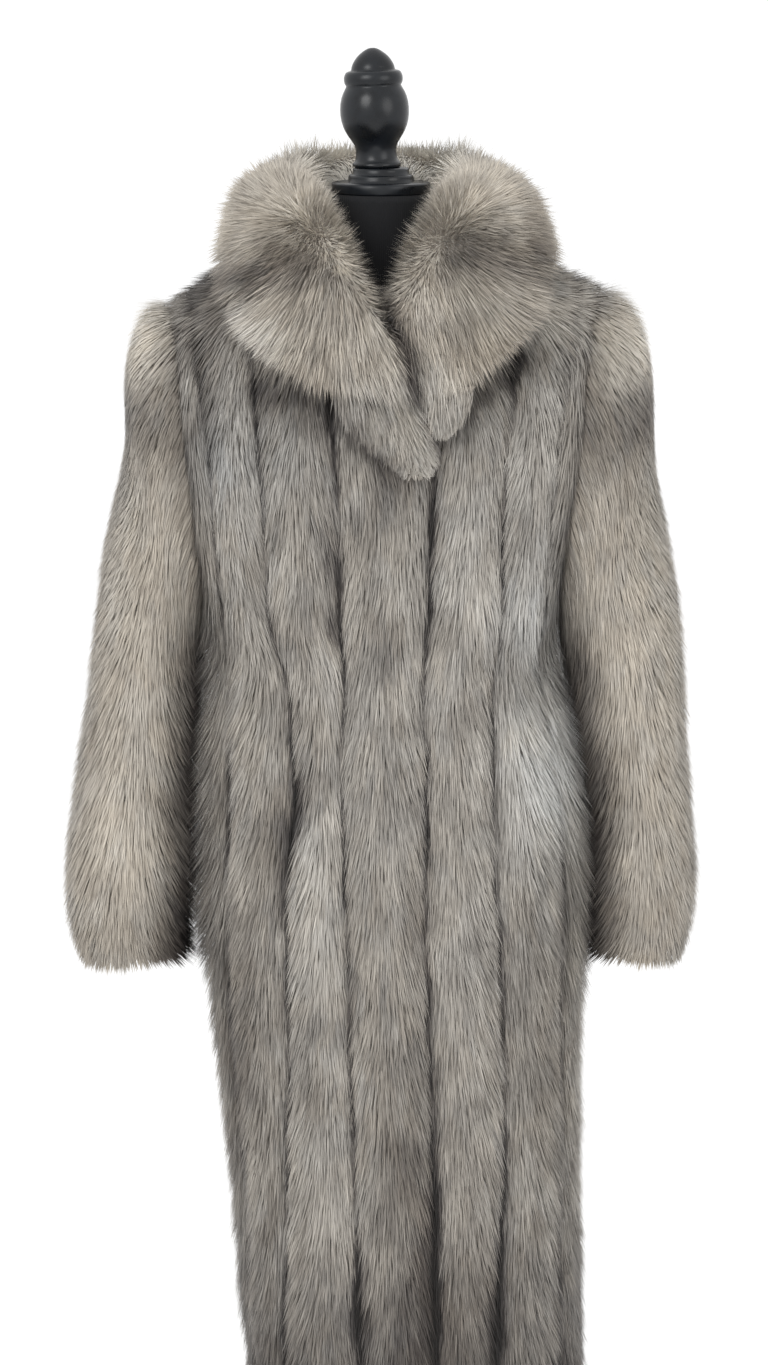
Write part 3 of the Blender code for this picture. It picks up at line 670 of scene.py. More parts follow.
# Grows hair on a ground that holds at each point its reach (root to tip), outward, thick, tone, warm, loose.
def makeFurTree():
    tree = bpy.data.node_groups.new("fur", "GeometryNodeTree")
    tree.interface.new_socket("Geometry", in_out="INPUT", socket_type="NodeSocketGeometry")
    for name, kind in furInputs.items():
        tree.interface.new_socket(name, in_out="INPUT", socket_type="NodeSocket" + kind)
    tree.interface.new_socket("Geometry", in_out="OUTPUT", socket_type="NodeSocketGeometry")
    given = addNode(tree, "NodeGroupInput").outputs

    def add(kind, inputs, output=0, **settings):
        return addNode(tree, kind, settings, inputs).outputs[output]

    def named(name, kind="FLOAT"):
        return add("GeometryNodeInputNamedAttribute", {"Name": name}, "Attribute", data_type=kind)

    def maths(operation, a, b, clamp=False):
        return add("ShaderNodeMath", {0: a, 1: b}, operation=operation, use_clamp=clamp)

    def plus(a, b):
        return maths("ADD", a, b)

    def times(a, b):
        return maths("MULTIPLY", a, b)

    # A texture's swing about its middle.
    def swing(value, size):
        return times(maths("SUBTRACT", value, 0.5), size)

    def limited(value):
        return add("ShaderNodeClamp", {"Value": value, "Min": 0.02, "Max": 0.98})

    def vectorOf(x, y, z):
        return add("ShaderNodeCombineXYZ", {"X": x, "Y": y, "Z": z})

    def vectors(operation, a, b=(0, 0, 0)):
        output = "Value" if operation in ("DOT_PRODUCT", "LENGTH") else "Vector"
        return add("ShaderNodeVectorMath", {0: a, 1: b}, output, operation=operation)

    def scaled(vector, scale):
        return add("ShaderNodeVectorMath", {0: vector, "Scale": scale}, operation="SCALE")

    def noise(vector, scale, detail, output, roughness=0.5):
        inputs = {"Vector": vector, "Scale": scale, "Detail": detail, "Roughness": roughness}
        return add("ShaderNodeTexNoise", inputs, output)

    def drift(scale, detail):
        return vectors("SUBTRACT", noise(place, scale, detail, "Color"), (0.5, 0.5, 0.5))

    def chance(low, high, order):
        return add("FunctionNodeRandomValue", {2: low, 3: high, 8: plus(given["Seed"], float(order))}, 1,
                   data_type="FLOAT")

    def chanceVector(order):
        inputs = {0: (-1, -1, -1), 1: (1, 1, 1), 8: plus(given["Seed"], float(order))}
        return add("FunctionNodeRandomValue", inputs, data_type="FLOAT_VECTOR")

    def store(geometry, name, value, kind="FLOAT", domain="POINT"):
        return add("GeometryNodeStoreNamedAttribute", {"Geometry": geometry, "Name": name, "Value": value},
                   "Geometry", data_type=kind, domain=domain)

    grown = add("GeometryNodeDistributePointsOnFaces", {
        "Mesh": given["Geometry"], "Density": times(given["Density"], named("thick")), "Seed": given["Seed"]},
        "Points", distribute_method="RANDOM")
    place = add("GeometryNodeInputPosition", {})
    aim = named("reach", "FLOAT_VECTOR")
    flow = vectors("NORMALIZE", aim)
    outward = vectors("NORMALIZE", named("outward", "FLOAT_VECTOR"))

    # Locks: the hairs of one cell lean together, and share a shade.
    squeeze = vectorOf(1.0, 1.0, given["Lock Stretch"])
    wobbled = vectors("ADD", place, scaled(drift(60.0, 1.0), 0.012))
    squeezed = vectors("MULTIPLY", wobbled, squeeze)
    fine = maths("DIVIDE", 1.0, given["Lock Size"])
    locks = addNode(tree, "ShaderNodeTexVoronoi", {"feature": "F1"}, {"Vector": squeezed, "Scale": fine}).outputs
    toMiddle = vectors("SUBTRACT", vectors("DIVIDE", locks["Position"], squeeze), wobbled)
    sideways = vectors("SUBTRACT", toMiddle, scaled(flow, vectors("DOT_PRODUCT", toMiddle, flow)))
    pull = scaled(sideways, given["Lock Pull"])

    # The hair's own line.
    aim = scaled(aim, chance(0.70, 1.16, 11))
    rising = scaled(outward, times(chance(-1.0, 1.0, 12), given["Lift Spread"]))
    swirl = scaled(drift(14.0, 3.0), given["Swirl"])
    stray = scaled(chanceVector(13), times(given["Stray"], named("loose")))
    bend = vectors("ADD", rising, vectors("ADD", swirl, stray))
    reach = vectors("ADD", vectors("ADD", aim, scaled(bend, vectors("LENGTH", aim))), pull)
    roll = vectors("ADD", outward, scaled(chanceVector(14), given["Roll"]))
    turned = add("FunctionNodeAxesToRotation", {"Primary Axis": reach, "Secondary Axis": roll},
                 primary_axis="Z", secondary_axis="Y")
    size = vectorOf(times(given["Width"], chance(0.6, 1.4, 15)), times(given["Bow"], chance(0.5, 1.5, 16)),
                    vectors("LENGTH", reach))

    # Its shade and warmth.
    lockColour = addNode(tree, "ShaderNodeSeparateXYZ", inputs={0: locks["Color"]}).outputs
    streak = noise(vectors("MULTIPLY", place, (1.0, 1.0, 0.40)), 75.0, 3.0, 0)
    mottle = noise(vectors("MULTIPLY", place, (1.0, 1.0, 0.5)), 32.0, 4.0, 0, 0.6)
    tone = plus(named("tone"), swing(lockColour["X"], given["Lock Tone"]))
    tone = plus(tone, swing(streak, times(given["Lock Tone"], 2.4)))
    tone = plus(tone, times(chance(-1.0, 1.0, 17), given["Hair Tone"]))
    tone = plus(tone, swing(mottle, given["Mottle"]))
    grown = store(grown, "tone", tone)
    grown = store(grown, "warmth", plus(named("warm"), swing(lockColour["Y"], 0.20)))
    grown = store(grown, "tipShade", times(maths("POWER", chance(0.0, 1.0, 18), 3.0), given["Tip Shade"]))

    blade = add("GeometryNodeObjectInfo", {"Object": given["Strand"]}, "Geometry")
    hairs = add("GeometryNodeInstanceOnPoints", {
        "Points": grown, "Instance": blade, "Rotation": turned, "Scale": size})
    made = add("GeometryNodeRealizeInstances", {0: hairs})
    along = named("along")
    # The roots darken: charcoal roots, and painted shade near the skin.
    root = times(maths("SUBTRACT", 1.0, times(along, 2.083), True), given["Root Shade"])
    end = times(maths("SUBTRACT", times(along, 1.923), 0.923, True), named("tipShade"))
    made = store(made, "shade", limited(plus(named("tone"), plus(root, end))))
    made = store(made, "warmth", limited(plus(named("warmth"), times(named("side"), 0.012))))
    chart = vectorOf(named("shade"), named("warmth"), 0.0)
    made = store(made, "OFBake", chart, "FLOAT2", "CORNER")
    made = add("GeometryNodeSetMaterial", {"Geometry": made, "Material": given["Material"]})
    addNode(tree, "NodeGroupOutput", inputs={"Geometry": made})
    return tree


furTree = makeFurTree()
furSockets = {item.name: item.identifier for item in furTree.interface.items_tree if item.in_out == "INPUT"}


# The corners of a grid of points; a closed one comes round to its first column again.
def gridCorners(shape, closed=False):
    corners = np.arange(shape[0] * shape[1]).reshape(shape[:2])
    return np.column_stack([corners, corners[:, 0]]) if closed else corners


def gridFaces(corners):
    faces = np.stack([corners[:-1, :-1], corners[:-1, 1:], corners[1:, 1:], corners[1:, :-1]], axis=-1)
    return faces.reshape(-1, 4).tolist()


# A ground for hair: a grid of points, and at each of them what the hair there takes.
def makeGround(grid, outward, reach, closed=False, **values):
    ground = addMesh("ground", grid, gridFaces(gridCorners(grid.shape, closed)), smooth=False)
    for key, vector in {"outward": outward, "reach": reach}.items():
        flat = np.asarray(vector, dtype=np.float32).reshape(-1)
        ground.data.attributes.new(key, "FLOAT_VECTOR", "POINT").data.foreach_set("vector", flat)
    for key, value in {"thick": 1.0, "loose": 1.0, **values}.items():
        flat = np.broadcast_to(np.asarray(value, dtype=np.float32), grid.shape[:2]).flatten()
        ground.data.attributes.new(key, "FLOAT", "POINT").data.foreach_set("value", flat)
    return ground


# Hair on a ground, as a plain mesh of its own.
def growFur(name, ground, sizes):
    modifier = ground.modifiers.new("fur", "NODES")
    modifier.node_group = furTree
    for key, value in {**furSizes, **sizes, "Strand": strand, "Material": furMaterial}.items():
        modifier[furSockets[key]] = value
    mesh = bpy.data.meshes.new_from_object(ground.evaluated_get(bpy.context.evaluated_depsgraph_get()))
    mesh.name = name
    for spare in ("reach", "outward", "thick", "tone", "warm", "loose", "tipShade", "along", "side"):
        if spare in mesh.attributes:
            mesh.attributes.remove(mesh.attributes[spare])
    fur = addObject(name, mesh)
    bpy.data.objects.remove(ground)
    print("  " + name, len(mesh.polygons), "faces")
    return fur


def unit(vectors):
    return vectors / np.maximum(np.linalg.norm(vectors, axis=-1, keepdims=True), 1e-9)


# The steps from column to column of a grid, halfway over both neighbours.
def aroundOf(grid, closed):
    return (np.roll(grid, -1, axis=1) - np.roll(grid, 1, axis=1)) / 2 if closed else np.gradient(grid, axis=1)


# The smooth direction out of a grid, on the side of a second grid that lies further in.
def outwardOf(grid, inner, closed=False):
    normal = unit(np.cross(np.gradient(grid, axis=0), aroundOf(grid, closed)))
    side = np.sign(np.sum(normal * (grid - inner), axis=-1, keepdims=True))
    return normal * np.where(side == 0, 1, side)


# A thin closed wall between an outer and an inner grid; its outside is underfur and its inside the skin.
def makeShell(name, outer, inner, closed=False):
    corners = gridCorners(outer.shape, closed)
    inside = outer.shape[0] * outer.shape[1]
    rims = [(corners[0], True), (corners[-1], False)]
    if not closed:
        rims += [(corners[:, 0], False), (corners[:, -1], True)]
    faces = gridFaces(corners)
    for line, turned in rims:
        for a, b in zip(line[:-1].tolist(), line[1:].tolist()):
            faces.append((a, inside + a, inside + b, b) if turned else (a, b, inside + b, inside + a))
    outsideCount = len(faces)
    faces += [(inside + a, inside + d, inside + c, inside + b) for a, b, c, d in gridFaces(corners)]
    first = np.cross(outer[1, 0] - outer[0, 0], outer[0, 1] - outer[0, 0])
    if np.dot(first, outer[0, 0] - inner[0, 0]) > 0:
        faces = [tuple(reversed(face)) for face in faces]
    shell = addMesh(name, np.concatenate([outer, inner]), faces, (underfurMaterial, skinMaterial))
    isInside = np.arange(len(faces)) >= outsideCount
    shell.data.polygons.foreach_set("material_index", isInside.astype(np.int32))
    return shell


# A piece rides with the body and stands for its node.
def dressNode(made, node):
    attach(made, "root")
    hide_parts(node)


# A fur piece: its hair on its shell.
def addFurPiece(node, outer, inner, fur, closed=False):
    shell = makeShell(node + "_pelts", outer, inner, closed)
    dressNode(shell, node)
    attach(fur, "root")


# From each root to the point of a second grid that lies one hair's length further along its columns.
def reachOf(roots, ends, length, way=1):
    lengths = np.broadcast_to(length, roots.shape[:2])
    steps = np.linalg.norm(np.diff(ends, axis=0), axis=2)
    arcs = np.concatenate([np.zeros((1, steps.shape[1])), np.cumsum(steps, axis=0)])
    reach = np.empty_like(roots)
    for j in range(roots.shape[1]):
        line = ends[:, j]
        arc = arcs[:, j]
        want = arc + way * lengths[:, j]
        point = np.stack([np.interp(want, arc, line[:, axis]) for axis in range(3)], axis=1)
        before = np.minimum(want, 0)[:, None]
        after = np.maximum(want - arc[-1], 0)[:, None]
        point += before * unit(line[2] - line[0]) + after * unit(line[-1] - line[-3])
        reach[:, j] = point - roots[:, j]
    return reach


# Moves the hairs' tips to a height over the surface that they should end on.
def settle(tips, surface, outward, height):
    flat = surface.reshape(-1, 3)
    out = outward.reshape(-1, 3)
    tree = KDTree(len(flat))
    for number, point in enumerate(flat):
        tree.insert(point, number)
    tree.balance()
    near = np.array([tree.find(tip)[1] for tip in tips.reshape(-1, 3)]).reshape(tips.shape[:2])
    over = np.sum((tips - flat[near]) * out[near], axis=-1, keepdims=True)
    return tips - out[near] * (over - height)


# Large light and dark places of the fur, some of them painted shadow and shade: where, how wide, and what they
# add to the shade and the warmth.
def makePatches(*rows):
    return makeTable("x z wide high tone warm lean", *rows)


bodyPatches = makePatches(
    (-144, 1296, 40, 45, 0.05, -0.3),
    (-80, 1292, 30, 50, -0.03, -0.1),
    (-42, 1199, 20, 60, -0.05),
    (2, 1186, 30, 60, 0.09),
    (48, 1240, 7, 56, -0.4),
    (80, 1195, 26, 80, 0.07, -0.1),
    (140, 1275, 22, 50, 0.08, -0.1),
    (140, 1155, 24, 60, 0.11, -0.35),
    (154, 1000, 38, 80, 0.22, -0.4),
    (154, 850, 30, 60, -0.07),
    (-128, 1067, 35, 60, 0.04),
    (-59, 913, 18, 90, 0.07, -0.1),
    (4, 971, 35, 80, -0.01),
    (31, 860, 14, 60, -0.08, 0.1),
    (-132, 700, 28, 140, -0.17, 0.1),
    (18, 640, 25, 140, -0.15, 0.1),
    (157, 673, 25, 120, -0.11, 0.1),
    (82, 476, 30, 80, -0.1, 0.15),
    (-148, 1436, 22, 24, -0.24, 0.05),
    (165, 1415, 26, 30, 0.06),
    (-156, 1350, 15, 50, -0.2),
    # Painted shadows under the collar's lobes.
    (-102, 1360, 16, 10, -0.34),
    (-76, 1346, 20, 10, -0.42),
    (-46, 1338, 22, 10, -0.3),
    (122, 1376, 16, 10, -0.2),
    (98, 1360, 10, 24, -0.32, 0, 1.15),
    (78, 1336, 10, 18, -0.25, 0, 0.6),
    # Painted shade in folds, under the lapel and in the gap between the fronts near the foot.
    (-10, 1300, 9, 28, -0.28, 0, -1.3),
    (-55, 1216, 6, 28, -0.26, 0, -0.4),
    (-48, 1144, 6, 24, -0.26, 0, -0.3),
    (-89, 1130, 12, 28, -0.12, 0, -0.9),
    (-78, 948, 9, 60, -0.4, 0, 0.19),
    (-92, 965, 18, 50, -0.14, 0.1, 0.19),
    (137, 1093, 8, 28, -0.22, 0, -0.9),
    (50, 510, 7, 130, -0.65),
    (38, 500, 14, 120, -0.14, 0.15),
    (-19, 461, 8, 60, -0.5),
    (110, 470, 9, 75, -0.5, 0, 0.06),
)


def patchesAt(patches, x, z):
    tone = np.zeros_like(x)
    warm = np.zeros_like(x)
    for patch in patches:
        middle = patch.x + patch.lean * (z - patch.z)
        near = np.exp(-((x - middle) / patch.wide) ** 2 - ((z - patch.z) / patch.high) ** 2)
        tone += patch.tone * near
        warm += patch.warm * near
    return tone, warm


hair = {
    "foot": 0.206, "bodyLength": 0.033, "sleeveLength": 0.030, "lapelLength": 0.028, "tipHeight": 0.0005,
    "shoulderAside": 0.022, "besideRight": 0.015, "besideLeft": 0.010,
    "bodyTone": 0.524, "creamTone": 0.60, "seamPaintedShade": -0.54, "bodyWarm": 0.55, "creamWarm": 0.75,
}


print("stage: fronts and backs")


# The hair stands up over the shoulder points, higher on the left.
def shoulderRise(x, z):
    left = 0.011 * np.exp(-((x - 0.192) / 0.032) ** 2)
    right = 0.010 * np.exp(-((x + 0.195) / 0.026) ** 2)
    return (left + right) * fade(z - 1.375, 0.04)


# A front or back: its hair lies down, fans a little towards the seams and, over the shoulder, to the side.
def furPanel(node, face, linesAt, sizes, shellGrids=None):
    inset, groove = coatForm["skinInset"], coatForm["skinGroove"]
    outer = panelGrid(face, linesAt, inset, groove)[0]
    inner = panelGrid(face, linesAt, inset + coatForm["pelt"], 0.0)[0]
    roots, columns = panelGrid(face, linesAt, coatForm["rootInset"], groove)
    ends = panelGrid(face, linesAt, coatForm["endInset"], coatForm["groove"])[0]
    share, full, acrossPelt = np.abs(columns[..., 0]), columns[..., 1], columns[..., 2]
    x, z = roots[:, :, 0], roots[:, :, 2]
    outward = outwardOf(roots, inner)
    reach = reachOf(roots, ends, hair["bodyLength"] * (1 - 0.3 * fade(0.25 - z, 0.04)), -1)
    fan = 0.5 * acrossPelt * (1 - acrossPelt ** 2) * hair["bodyLength"]
    reach += unit(np.gradient(roots, axis=1)) * fan[..., None]
    reach[..., 0] += hair["shoulderAside"] * (fade(z - 1.32, 0.10) * fade(np.abs(x) - 0.05, 0.08) * np.sign(x))

    # Beside the sleeves the hair is longer and darkened with painted shade, so no gap shows there.
    beside = fade(share - 0.90, 0.08) * fade(1.15 - z, 0.05) * fade(z - 0.77, 0.04)
    longer = hair["besideRight" if linesAt in (frontRightLines, backRightLines) else "besideLeft"]
    height = hair["tipHeight"] + longer * beside
    reach = settle(roots + reach, ends, outward, (height + shoulderRise(x, z))[..., None]) - roots
    over = np.where(x < 0, 0.014, 0.006) * fade(np.abs(x) - 0.155, 0.03)
    ridge = hair["shoulderAside"] * np.sign(x), np.zeros_like(x), 0.003 + shoulderRise(x, z) - over
    top = np.array([max((rise or 0) - 0.85, 0) / 0.15 for level, rise in bodyRows()])[:, None, None]
    reach = lerp(reach, np.stack(ridge, axis=-1), top)

    # What shows at a height is the hair rooted above it.
    tone, warm = patchesAt(bodyPatches if face < 0 else (), x, z - 0.008)
    uneven = 0.8 + 0.35 * np.sin(31 * z + 70 * x) + 0.2 * np.sin(83 * z - 40 * x)
    # Painted shade in the grooves between pelts; the darkening towards the hem is partly the fur's own tone and
    # partly painted shade.
    tone = hair["bodyTone"] + tone + hair["seamPaintedShade"] * uneven * (1 - full) ** 3 - 0.26 * fade(0.56 - z, 0.20)
    # Painted shade along the armhole seams and beside the sleeves.
    armhole = np.exp(-(1 - share) * np.abs(x) / 0.007) * fade(z - 1.10, 0.03)
    tone -= 0.20 * armhole + 0.24 * beside * fade(share - 0.955, 0.03)
    thick = np.where(z > 1.42, np.where(np.abs(x) < 0.12, 0.5, 1.5), 1.0)
    ground = makeGround(roots, outward, reach, thick=thick, tone=tone, warm=hair["bodyWarm"] + warm)
    fur = growFur(node + "_hair", ground, sizes)
    if shellGrids:
        outer, inner = shellGrids
    addFurPiece(node, outer, inner, fur)


# The left front's skin runs on behind the right front's edge.
def frontLeftShell(inset, groove, under):
    grid = []
    for z, rise in bodyRows():
        flap, first = underlapColumns(z, rise or 0.0)
        columns = peltColumns(frontLeftLines(z), rise or 0.0)
        line = [bodyPoint(-1, across, z, rise, deep + under) for across, deep in flap]
        columns[0] = (first, 0.0, -1.0)
        line += [bodyPoint(-1, a, z, rise, inset + groove * (1 - f)) for a, f, u in columns]
        grid.append(line)
    return np.array(grid)


frontLeftGrids = (frontLeftShell(coatForm["skinInset"], coatForm["skinGroove"], 0.0),
                  frontLeftShell(coatForm["skinInset"] + coatForm["pelt"], 0.0, 0.004))
furPanel("front_right", -1, frontRightLines, {"Seed": 11, "Density": 255000.0})
furPanel("front_left", -1, frontLeftLines, {"Seed": 12, "Density": 270000.0}, frontLeftGrids)
furPanel("back_right", 1, backRightLines, {"Seed": 13, "Density": 100000.0, "Width": 0.0019})
furPanel("back_left", 1, backLeftLines, {"Seed": 14, "Density": 100000.0, "Width": 0.0019})


print("stage: sleeves")

sleevePatches = makePatches(
    (-208, 1408, 40, 42, 0.3),
    (222, 1402, 44, 40, 0.22),
    (-225, 1326, 60, 40, -0.18, -0.1),
    (225, 1326, 60, 40, -0.2, -0.1),
    (-250, 1120, 60, 140, 0.04),
    (250, 1120, 60, 140, 0.04),
    (-250, 920, 40, 70, 0.07),
)
sleeveHair = {
    "Density": 310000.0, "Width": 0.0012, "Lift Spread": 0.03, "Stray": 0.06, "Swirl": 0.30, "Mottle": 0.30,
    "Lock Pull": 0.0, "Lock Tone": 0.05, "Hair Tone": 0.04, "Root Shade": -0.03,
}


# A sleeve: its hair runs down it to the cuff, shorter and thicker there.
def furSleeve(node, table, side, seed):
    inset, last = coatForm["skinInset"], sleeveForm["lastRow"]
    outer = sleeveGrid(table, side, inset)
    inner = sleeveGrid(table, side, inset + sleeveForm["pelt"])
    roots = sleeveGrid(table, side, coatForm["rootInset"])
    ends = sleeveGrid(table, side, coatForm["endInset"])
    x, z = roots[:, :, 0], roots[:, :, 2]
    outward = outwardOf(roots, inner, True)
    number = np.linspace(0, last, len(roots))[:, None]
    atCuff = fade(number - 14.2, last - 14.2)
    reach = reachOf(roots, ends, hair["sleeveLength"] * (1 - 0.40 * fade(number - 13.2, last - 13.2)))

    # The cap's hair falls instead of running out along the sleeve.
    falling = 0.7 * fade(z - 1.20, 0.12)[..., None]
    length = np.linalg.norm(reach, axis=-1, keepdims=True)
    downhill = np.array((0, 0, -1)) + outward * outward[..., 2:]
    reach = unit(unit(reach) * (1 - falling) + downhill * falling) * length
    turns = np.arange(sleeveForm["round"]) * 2 * math.pi / sleeveForm["round"]
    reach -= unit(aroundOf(roots, True)) * (0.0055 * np.sin(2 * turns))[None, :, None]

    # The side that faces the body and the cuff's underside lie in the shade, painted into their colour.
    facing = np.clip(-np.cos(turns) * 2.5 - 1.0, 0, 1)[None, :] * fade(1.15 - z, 0.05)
    under = np.clip(np.cos(turns - 2.6) * 2.5 - 1.2, 0, 1)[None, :] * fade(0.93 - z, 0.05)
    height = hair["tipHeight"] + (0.010 + 0.006 * atCuff) * facing + 0.008 * under + shoulderRise(x, z)
    reach = settle(roots + reach, ends, outward, height[..., None]) - roots
    tone, warm = patchesAt(sleevePatches, x, z)
    # Painted shade, darker and cooler, on the sleeve's outer and inner sides.
    edges = np.abs(np.cos(turns))[None, :] ** 3
    tone = hair["creamTone"] + tone - 0.02 - 0.05 * fade(0.90 - z, 0.12) - 0.28 * facing
    tone = tone - 0.08 * edges - 0.45 * under
    # Painted shade along the armhole seam.
    seam = 0.14 * np.exp(-np.arange(len(roots))[:, None] / 1.2)
    ground = makeGround(roots, outward, reach, True, tone=tone - seam, thick=1 + 0.9 * atCuff,
                        warm=hair["creamWarm"] + warm - 0.15 * edges)
    fur = growFur(node + "_hair", ground, {**sleeveHair, "Seed": seed})
    addFurPiece(node, outer, inner, fur, True)


furSleeve("sleeve_right", sleeveRightTable, -1, 21)
furSleeve("sleeve_left", sleeveLeftTable, 1, 22)


print("stage: collar and lapels")

# The collar's upper roll and lower lobe part at a crease: its share of the section and its depth, by side.
creaseRight = makeCurve(makeTable(
    "angle share depth",
    (0, 0.65, 0), (6, 0.63, 2), (12, 0.64, 4), (20, 0.71, 6), (28, 0.76, 9), (35, 0.8, 13),
    (45, 0.89, 13), (50, 0.95, 10), (60, 1.03, 0), (180, 1.07, 0),
))
creaseLeft = makeCurve(makeTable(
    "angle share depth",
    (0, 0.69, 0), (20, 0.69, 2), (28, 0.72, 8), (33, 0.75, 10), (40, 0.8, 12), (50, 0.87, 12),
    (58, 0.95, 8), (68, 1.03, 0), (180, 1.07, 0),
))
collarPatches = makePatches(
    (-89, 1518, 26, 20, -0.08),
    (77, 1518, 30, 20, -0.09),
    (-35, 1495, 16, 22, 0.09),
    (40, 1480, 14, 20, 0.05),
    (98, 1432, 36, 24, -0.08),
    (-73, 1484, 14, 14, -0.09, 0.15),
    (-100, 1489, 14, 10, -0.1),
    (-128, 1464, 26, 14, -0.22, -0.1),
    (-152, 1440, 16, 24, -0.22, -0.1),
    (-108, 1420, 30, 22, 0.12, -0.25),
    (-120, 1438, 12, 10, 0.12, -0.1),
    (-60, 1394, 18, 10, -0.05, 0.15),
    (-82, 1374, 34, 12, -0.16, 0.1),
    (46, 1380, 24, 24, 0.12, -0.25),
    (-15, 1372, 40, 22, 0.03, -0.2),
    (80, 1488, 30, 12, -0.08, -0.1),
    (136, 1500, 14, 22, -0.18, 0.1),
    (144, 1475, 12, 18, -0.22),
    (95, 1450, 26, 14, 0.05),
    (88, 1412, 30, 18, -0.09, 0.2),
)
# Where the roll's hair stands on end and fans out from, on either side.
rollWhorls = makeTable("angle share", (36, 0.62), (324, 0.62))
collarHair = {
    "Seed": 31, "Density": 620000.0, "Width": 0.0009, "Lock Size": 0.010, "Lock Stretch": 1.0,
    "Lock Pull": 0.10, "Lock Tone": 0.09, "Lift Spread": 0.16, "Stray": 0.13, "Swirl": 0.55, "Mottle": 0.36,
    "Tip Shade": -0.26,
}


# The crease's share and depth at each ring, and how far the fall stands out of its plain section.
def collarRelief():
    rows = [(creaseLeft if angle > 180 else creaseRight)(fromFrontOf(angle)) for angle in collarAngles]
    crease = np.array([row.share for row in rows])[:, None]
    depth = np.maximum([row.depth for row in rows], 0)[:, None]
    beyond = collarShares - crease
    swell = np.exp(-((beyond + 0.17) / 0.10) ** 2) + 0.6 * np.exp(-((beyond - 0.10) / 0.06) ** 2)
    relief = depth * (0.5 * swell - np.exp(-np.abs(beyond) / 0.045))
    return relief[..., None], crease[..., None], depth[..., None]


def furCollar():
    fromFront = fromFrontOf(collarAngles)[:, None, None]
    isLeft = (collarAngles > 180)[:, None, None]
    relief, crease, depth = collarRelief()
    deep = fade(depth, 0.010)
    share = collarShares[None, :, None]
    halves = np.array([[half for middle, outward, half in collarSection(angle)] for angle in collarAngles])
    middle = collarGrid(0.0)
    outward = unit(collarGrid(collarForm["skinOut"]) - middle)
    outer = middle + outward * (collarForm["skinOut"] + collarForm["skinRelief"] * relief)
    inner = outer - outward * collarForm["pelt"]
    roots = outer - outward * collarForm["rootInset"]
    ends = middle + outward * (halves[..., None] + relief)
    down = unit(np.gradient(middle, axis=1))
    aside = unit(np.gradient(middle, axis=0)) * np.where(isLeft, -1, 1)
    steps = np.linalg.norm(np.diff(middle, axis=1), axis=2)
    arc = np.concatenate([np.zeros((len(middle), 1)), np.cumsum(steps, axis=1)], axis=1)[..., None]

    # In front the hair fans out all round from where it stands on end; behind, it falls to both sides.
    fan = np.zeros_like(roots)
    for side, whorl in enumerate(rollWhorls):
        ring, place = np.abs(collarAngles - whorl.angle).argmin(), np.abs(collarShares - whorl.share).argmin()
        apart = roots - roots[ring, place]
        apart -= 0.45 * aside[ring, place] * (apart @ aside[ring, place])[..., None]
        fan = np.where(isLeft == bool(side), apart, fan)
    fan -= outward * np.sum(fan * outward, axis=-1, keepdims=True)
    across = np.sum(fan * aside, axis=-1, keepdims=True)
    fan -= aside * across * (1 - fade(fromFront, 9))
    crestArc = arc[:, np.abs(collarShares - collarForm["crestShare"]).argmin()][:, None]
    front = fade(120 - fromFront, 45)
    fan = fan / 0.020 * front + down * (arc - crestArc) / 0.014 * (1 - front)
    fan /= np.sqrt(1 + np.sum(fan ** 2, axis=-1, keepdims=True))

    # The lobe's hair lies down, and out to the sides.
    spread = np.clip((fromFront - 26) / 26, np.where(isLeft, -0.15, -0.35), 0.8) * fade(fromFront, 9)
    split = crease - 0.03 * deep
    lobe = np.clip((share - split) / lerp(0.20, 0.04, deep) + 0.5, 0, 1)
    way = lerp(fan, unit(down + aside * spread) * 0.93, lobe)
    standing = 1 - np.linalg.norm(way, axis=-1, keepdims=True)
    toCrease = np.abs(share - split) * arc[:, -1:] / collarForm["lastShare"]
    length = np.clip(lerp(0.030, toCrease, deep), 0.009, 0.024)
    overhang = lerp(0.016, 0.032, fade(34 - fromFront, 10))
    length = lerp(length, np.clip(arc[:, -1:] - arc + overhang, 0.020, 0.040), lobe > 0.5)
    upright = np.maximum(np.sqrt(np.maximum(1 - (1 - standing) ** 2, 0)), 0.37)
    tips = roots + (way + outward * upright) * length
    height = 0.001 + 0.009 * standing - 0.008 * fade(fromFront - 125, 30)
    reach = settle(tips, ends, outward, height) - roots

    front, standing = front[..., 0], standing[..., 0]
    tone, warm = patchesAt(collarPatches, ends[..., 0], ends[..., 2])
    # Painted shade in the crease between the roll and the lobe.
    tone = tone * front - 0.35 * (np.exp(-np.abs(share - split) / 0.022) * deep)[..., 0]
    # Behind, painted light lifts the shaded inside under the crest, and painted shade dims the crest and
    # outside; painted light also lifts the shaded gaps where the hair stands on end.
    tone += (1 - front) * (0.34 * fade(0.44 - collarShares, 0.06) - 0.06) + 0.20 * standing
    fromEnd = np.minimum(collarAngles - collarAngles[0], collarAngles[-1] - collarAngles)[:, None]
    # Painted shade where the collar's two ends meet.
    tone -= 0.52 * np.exp(-fromEnd / 2.6) * (collarShares > 0.45)
    ground = makeGround(roots, outward, reach, tone=hair["creamTone"] + tone,
                        warm=hair["creamWarm"] + warm * front - 0.25 * (1 - front),
                        loose=1 + 2.5 * standing, thick=(0.75 + 0.25 * front) * (1 + 0.6 * standing))
    fur = growFur("collar_hair", ground, collarHair)
    addFurPiece("collar", outer, inner, fur)


lapelHair = {
    "Density": 900000.0, "Lock Size": 0.010, "Lock Stretch": 1.0, "Lock Pull": 0.30, "Lift Spread": 0.20,
    "Stray": 0.16, "Tip Shade": -0.26,
}
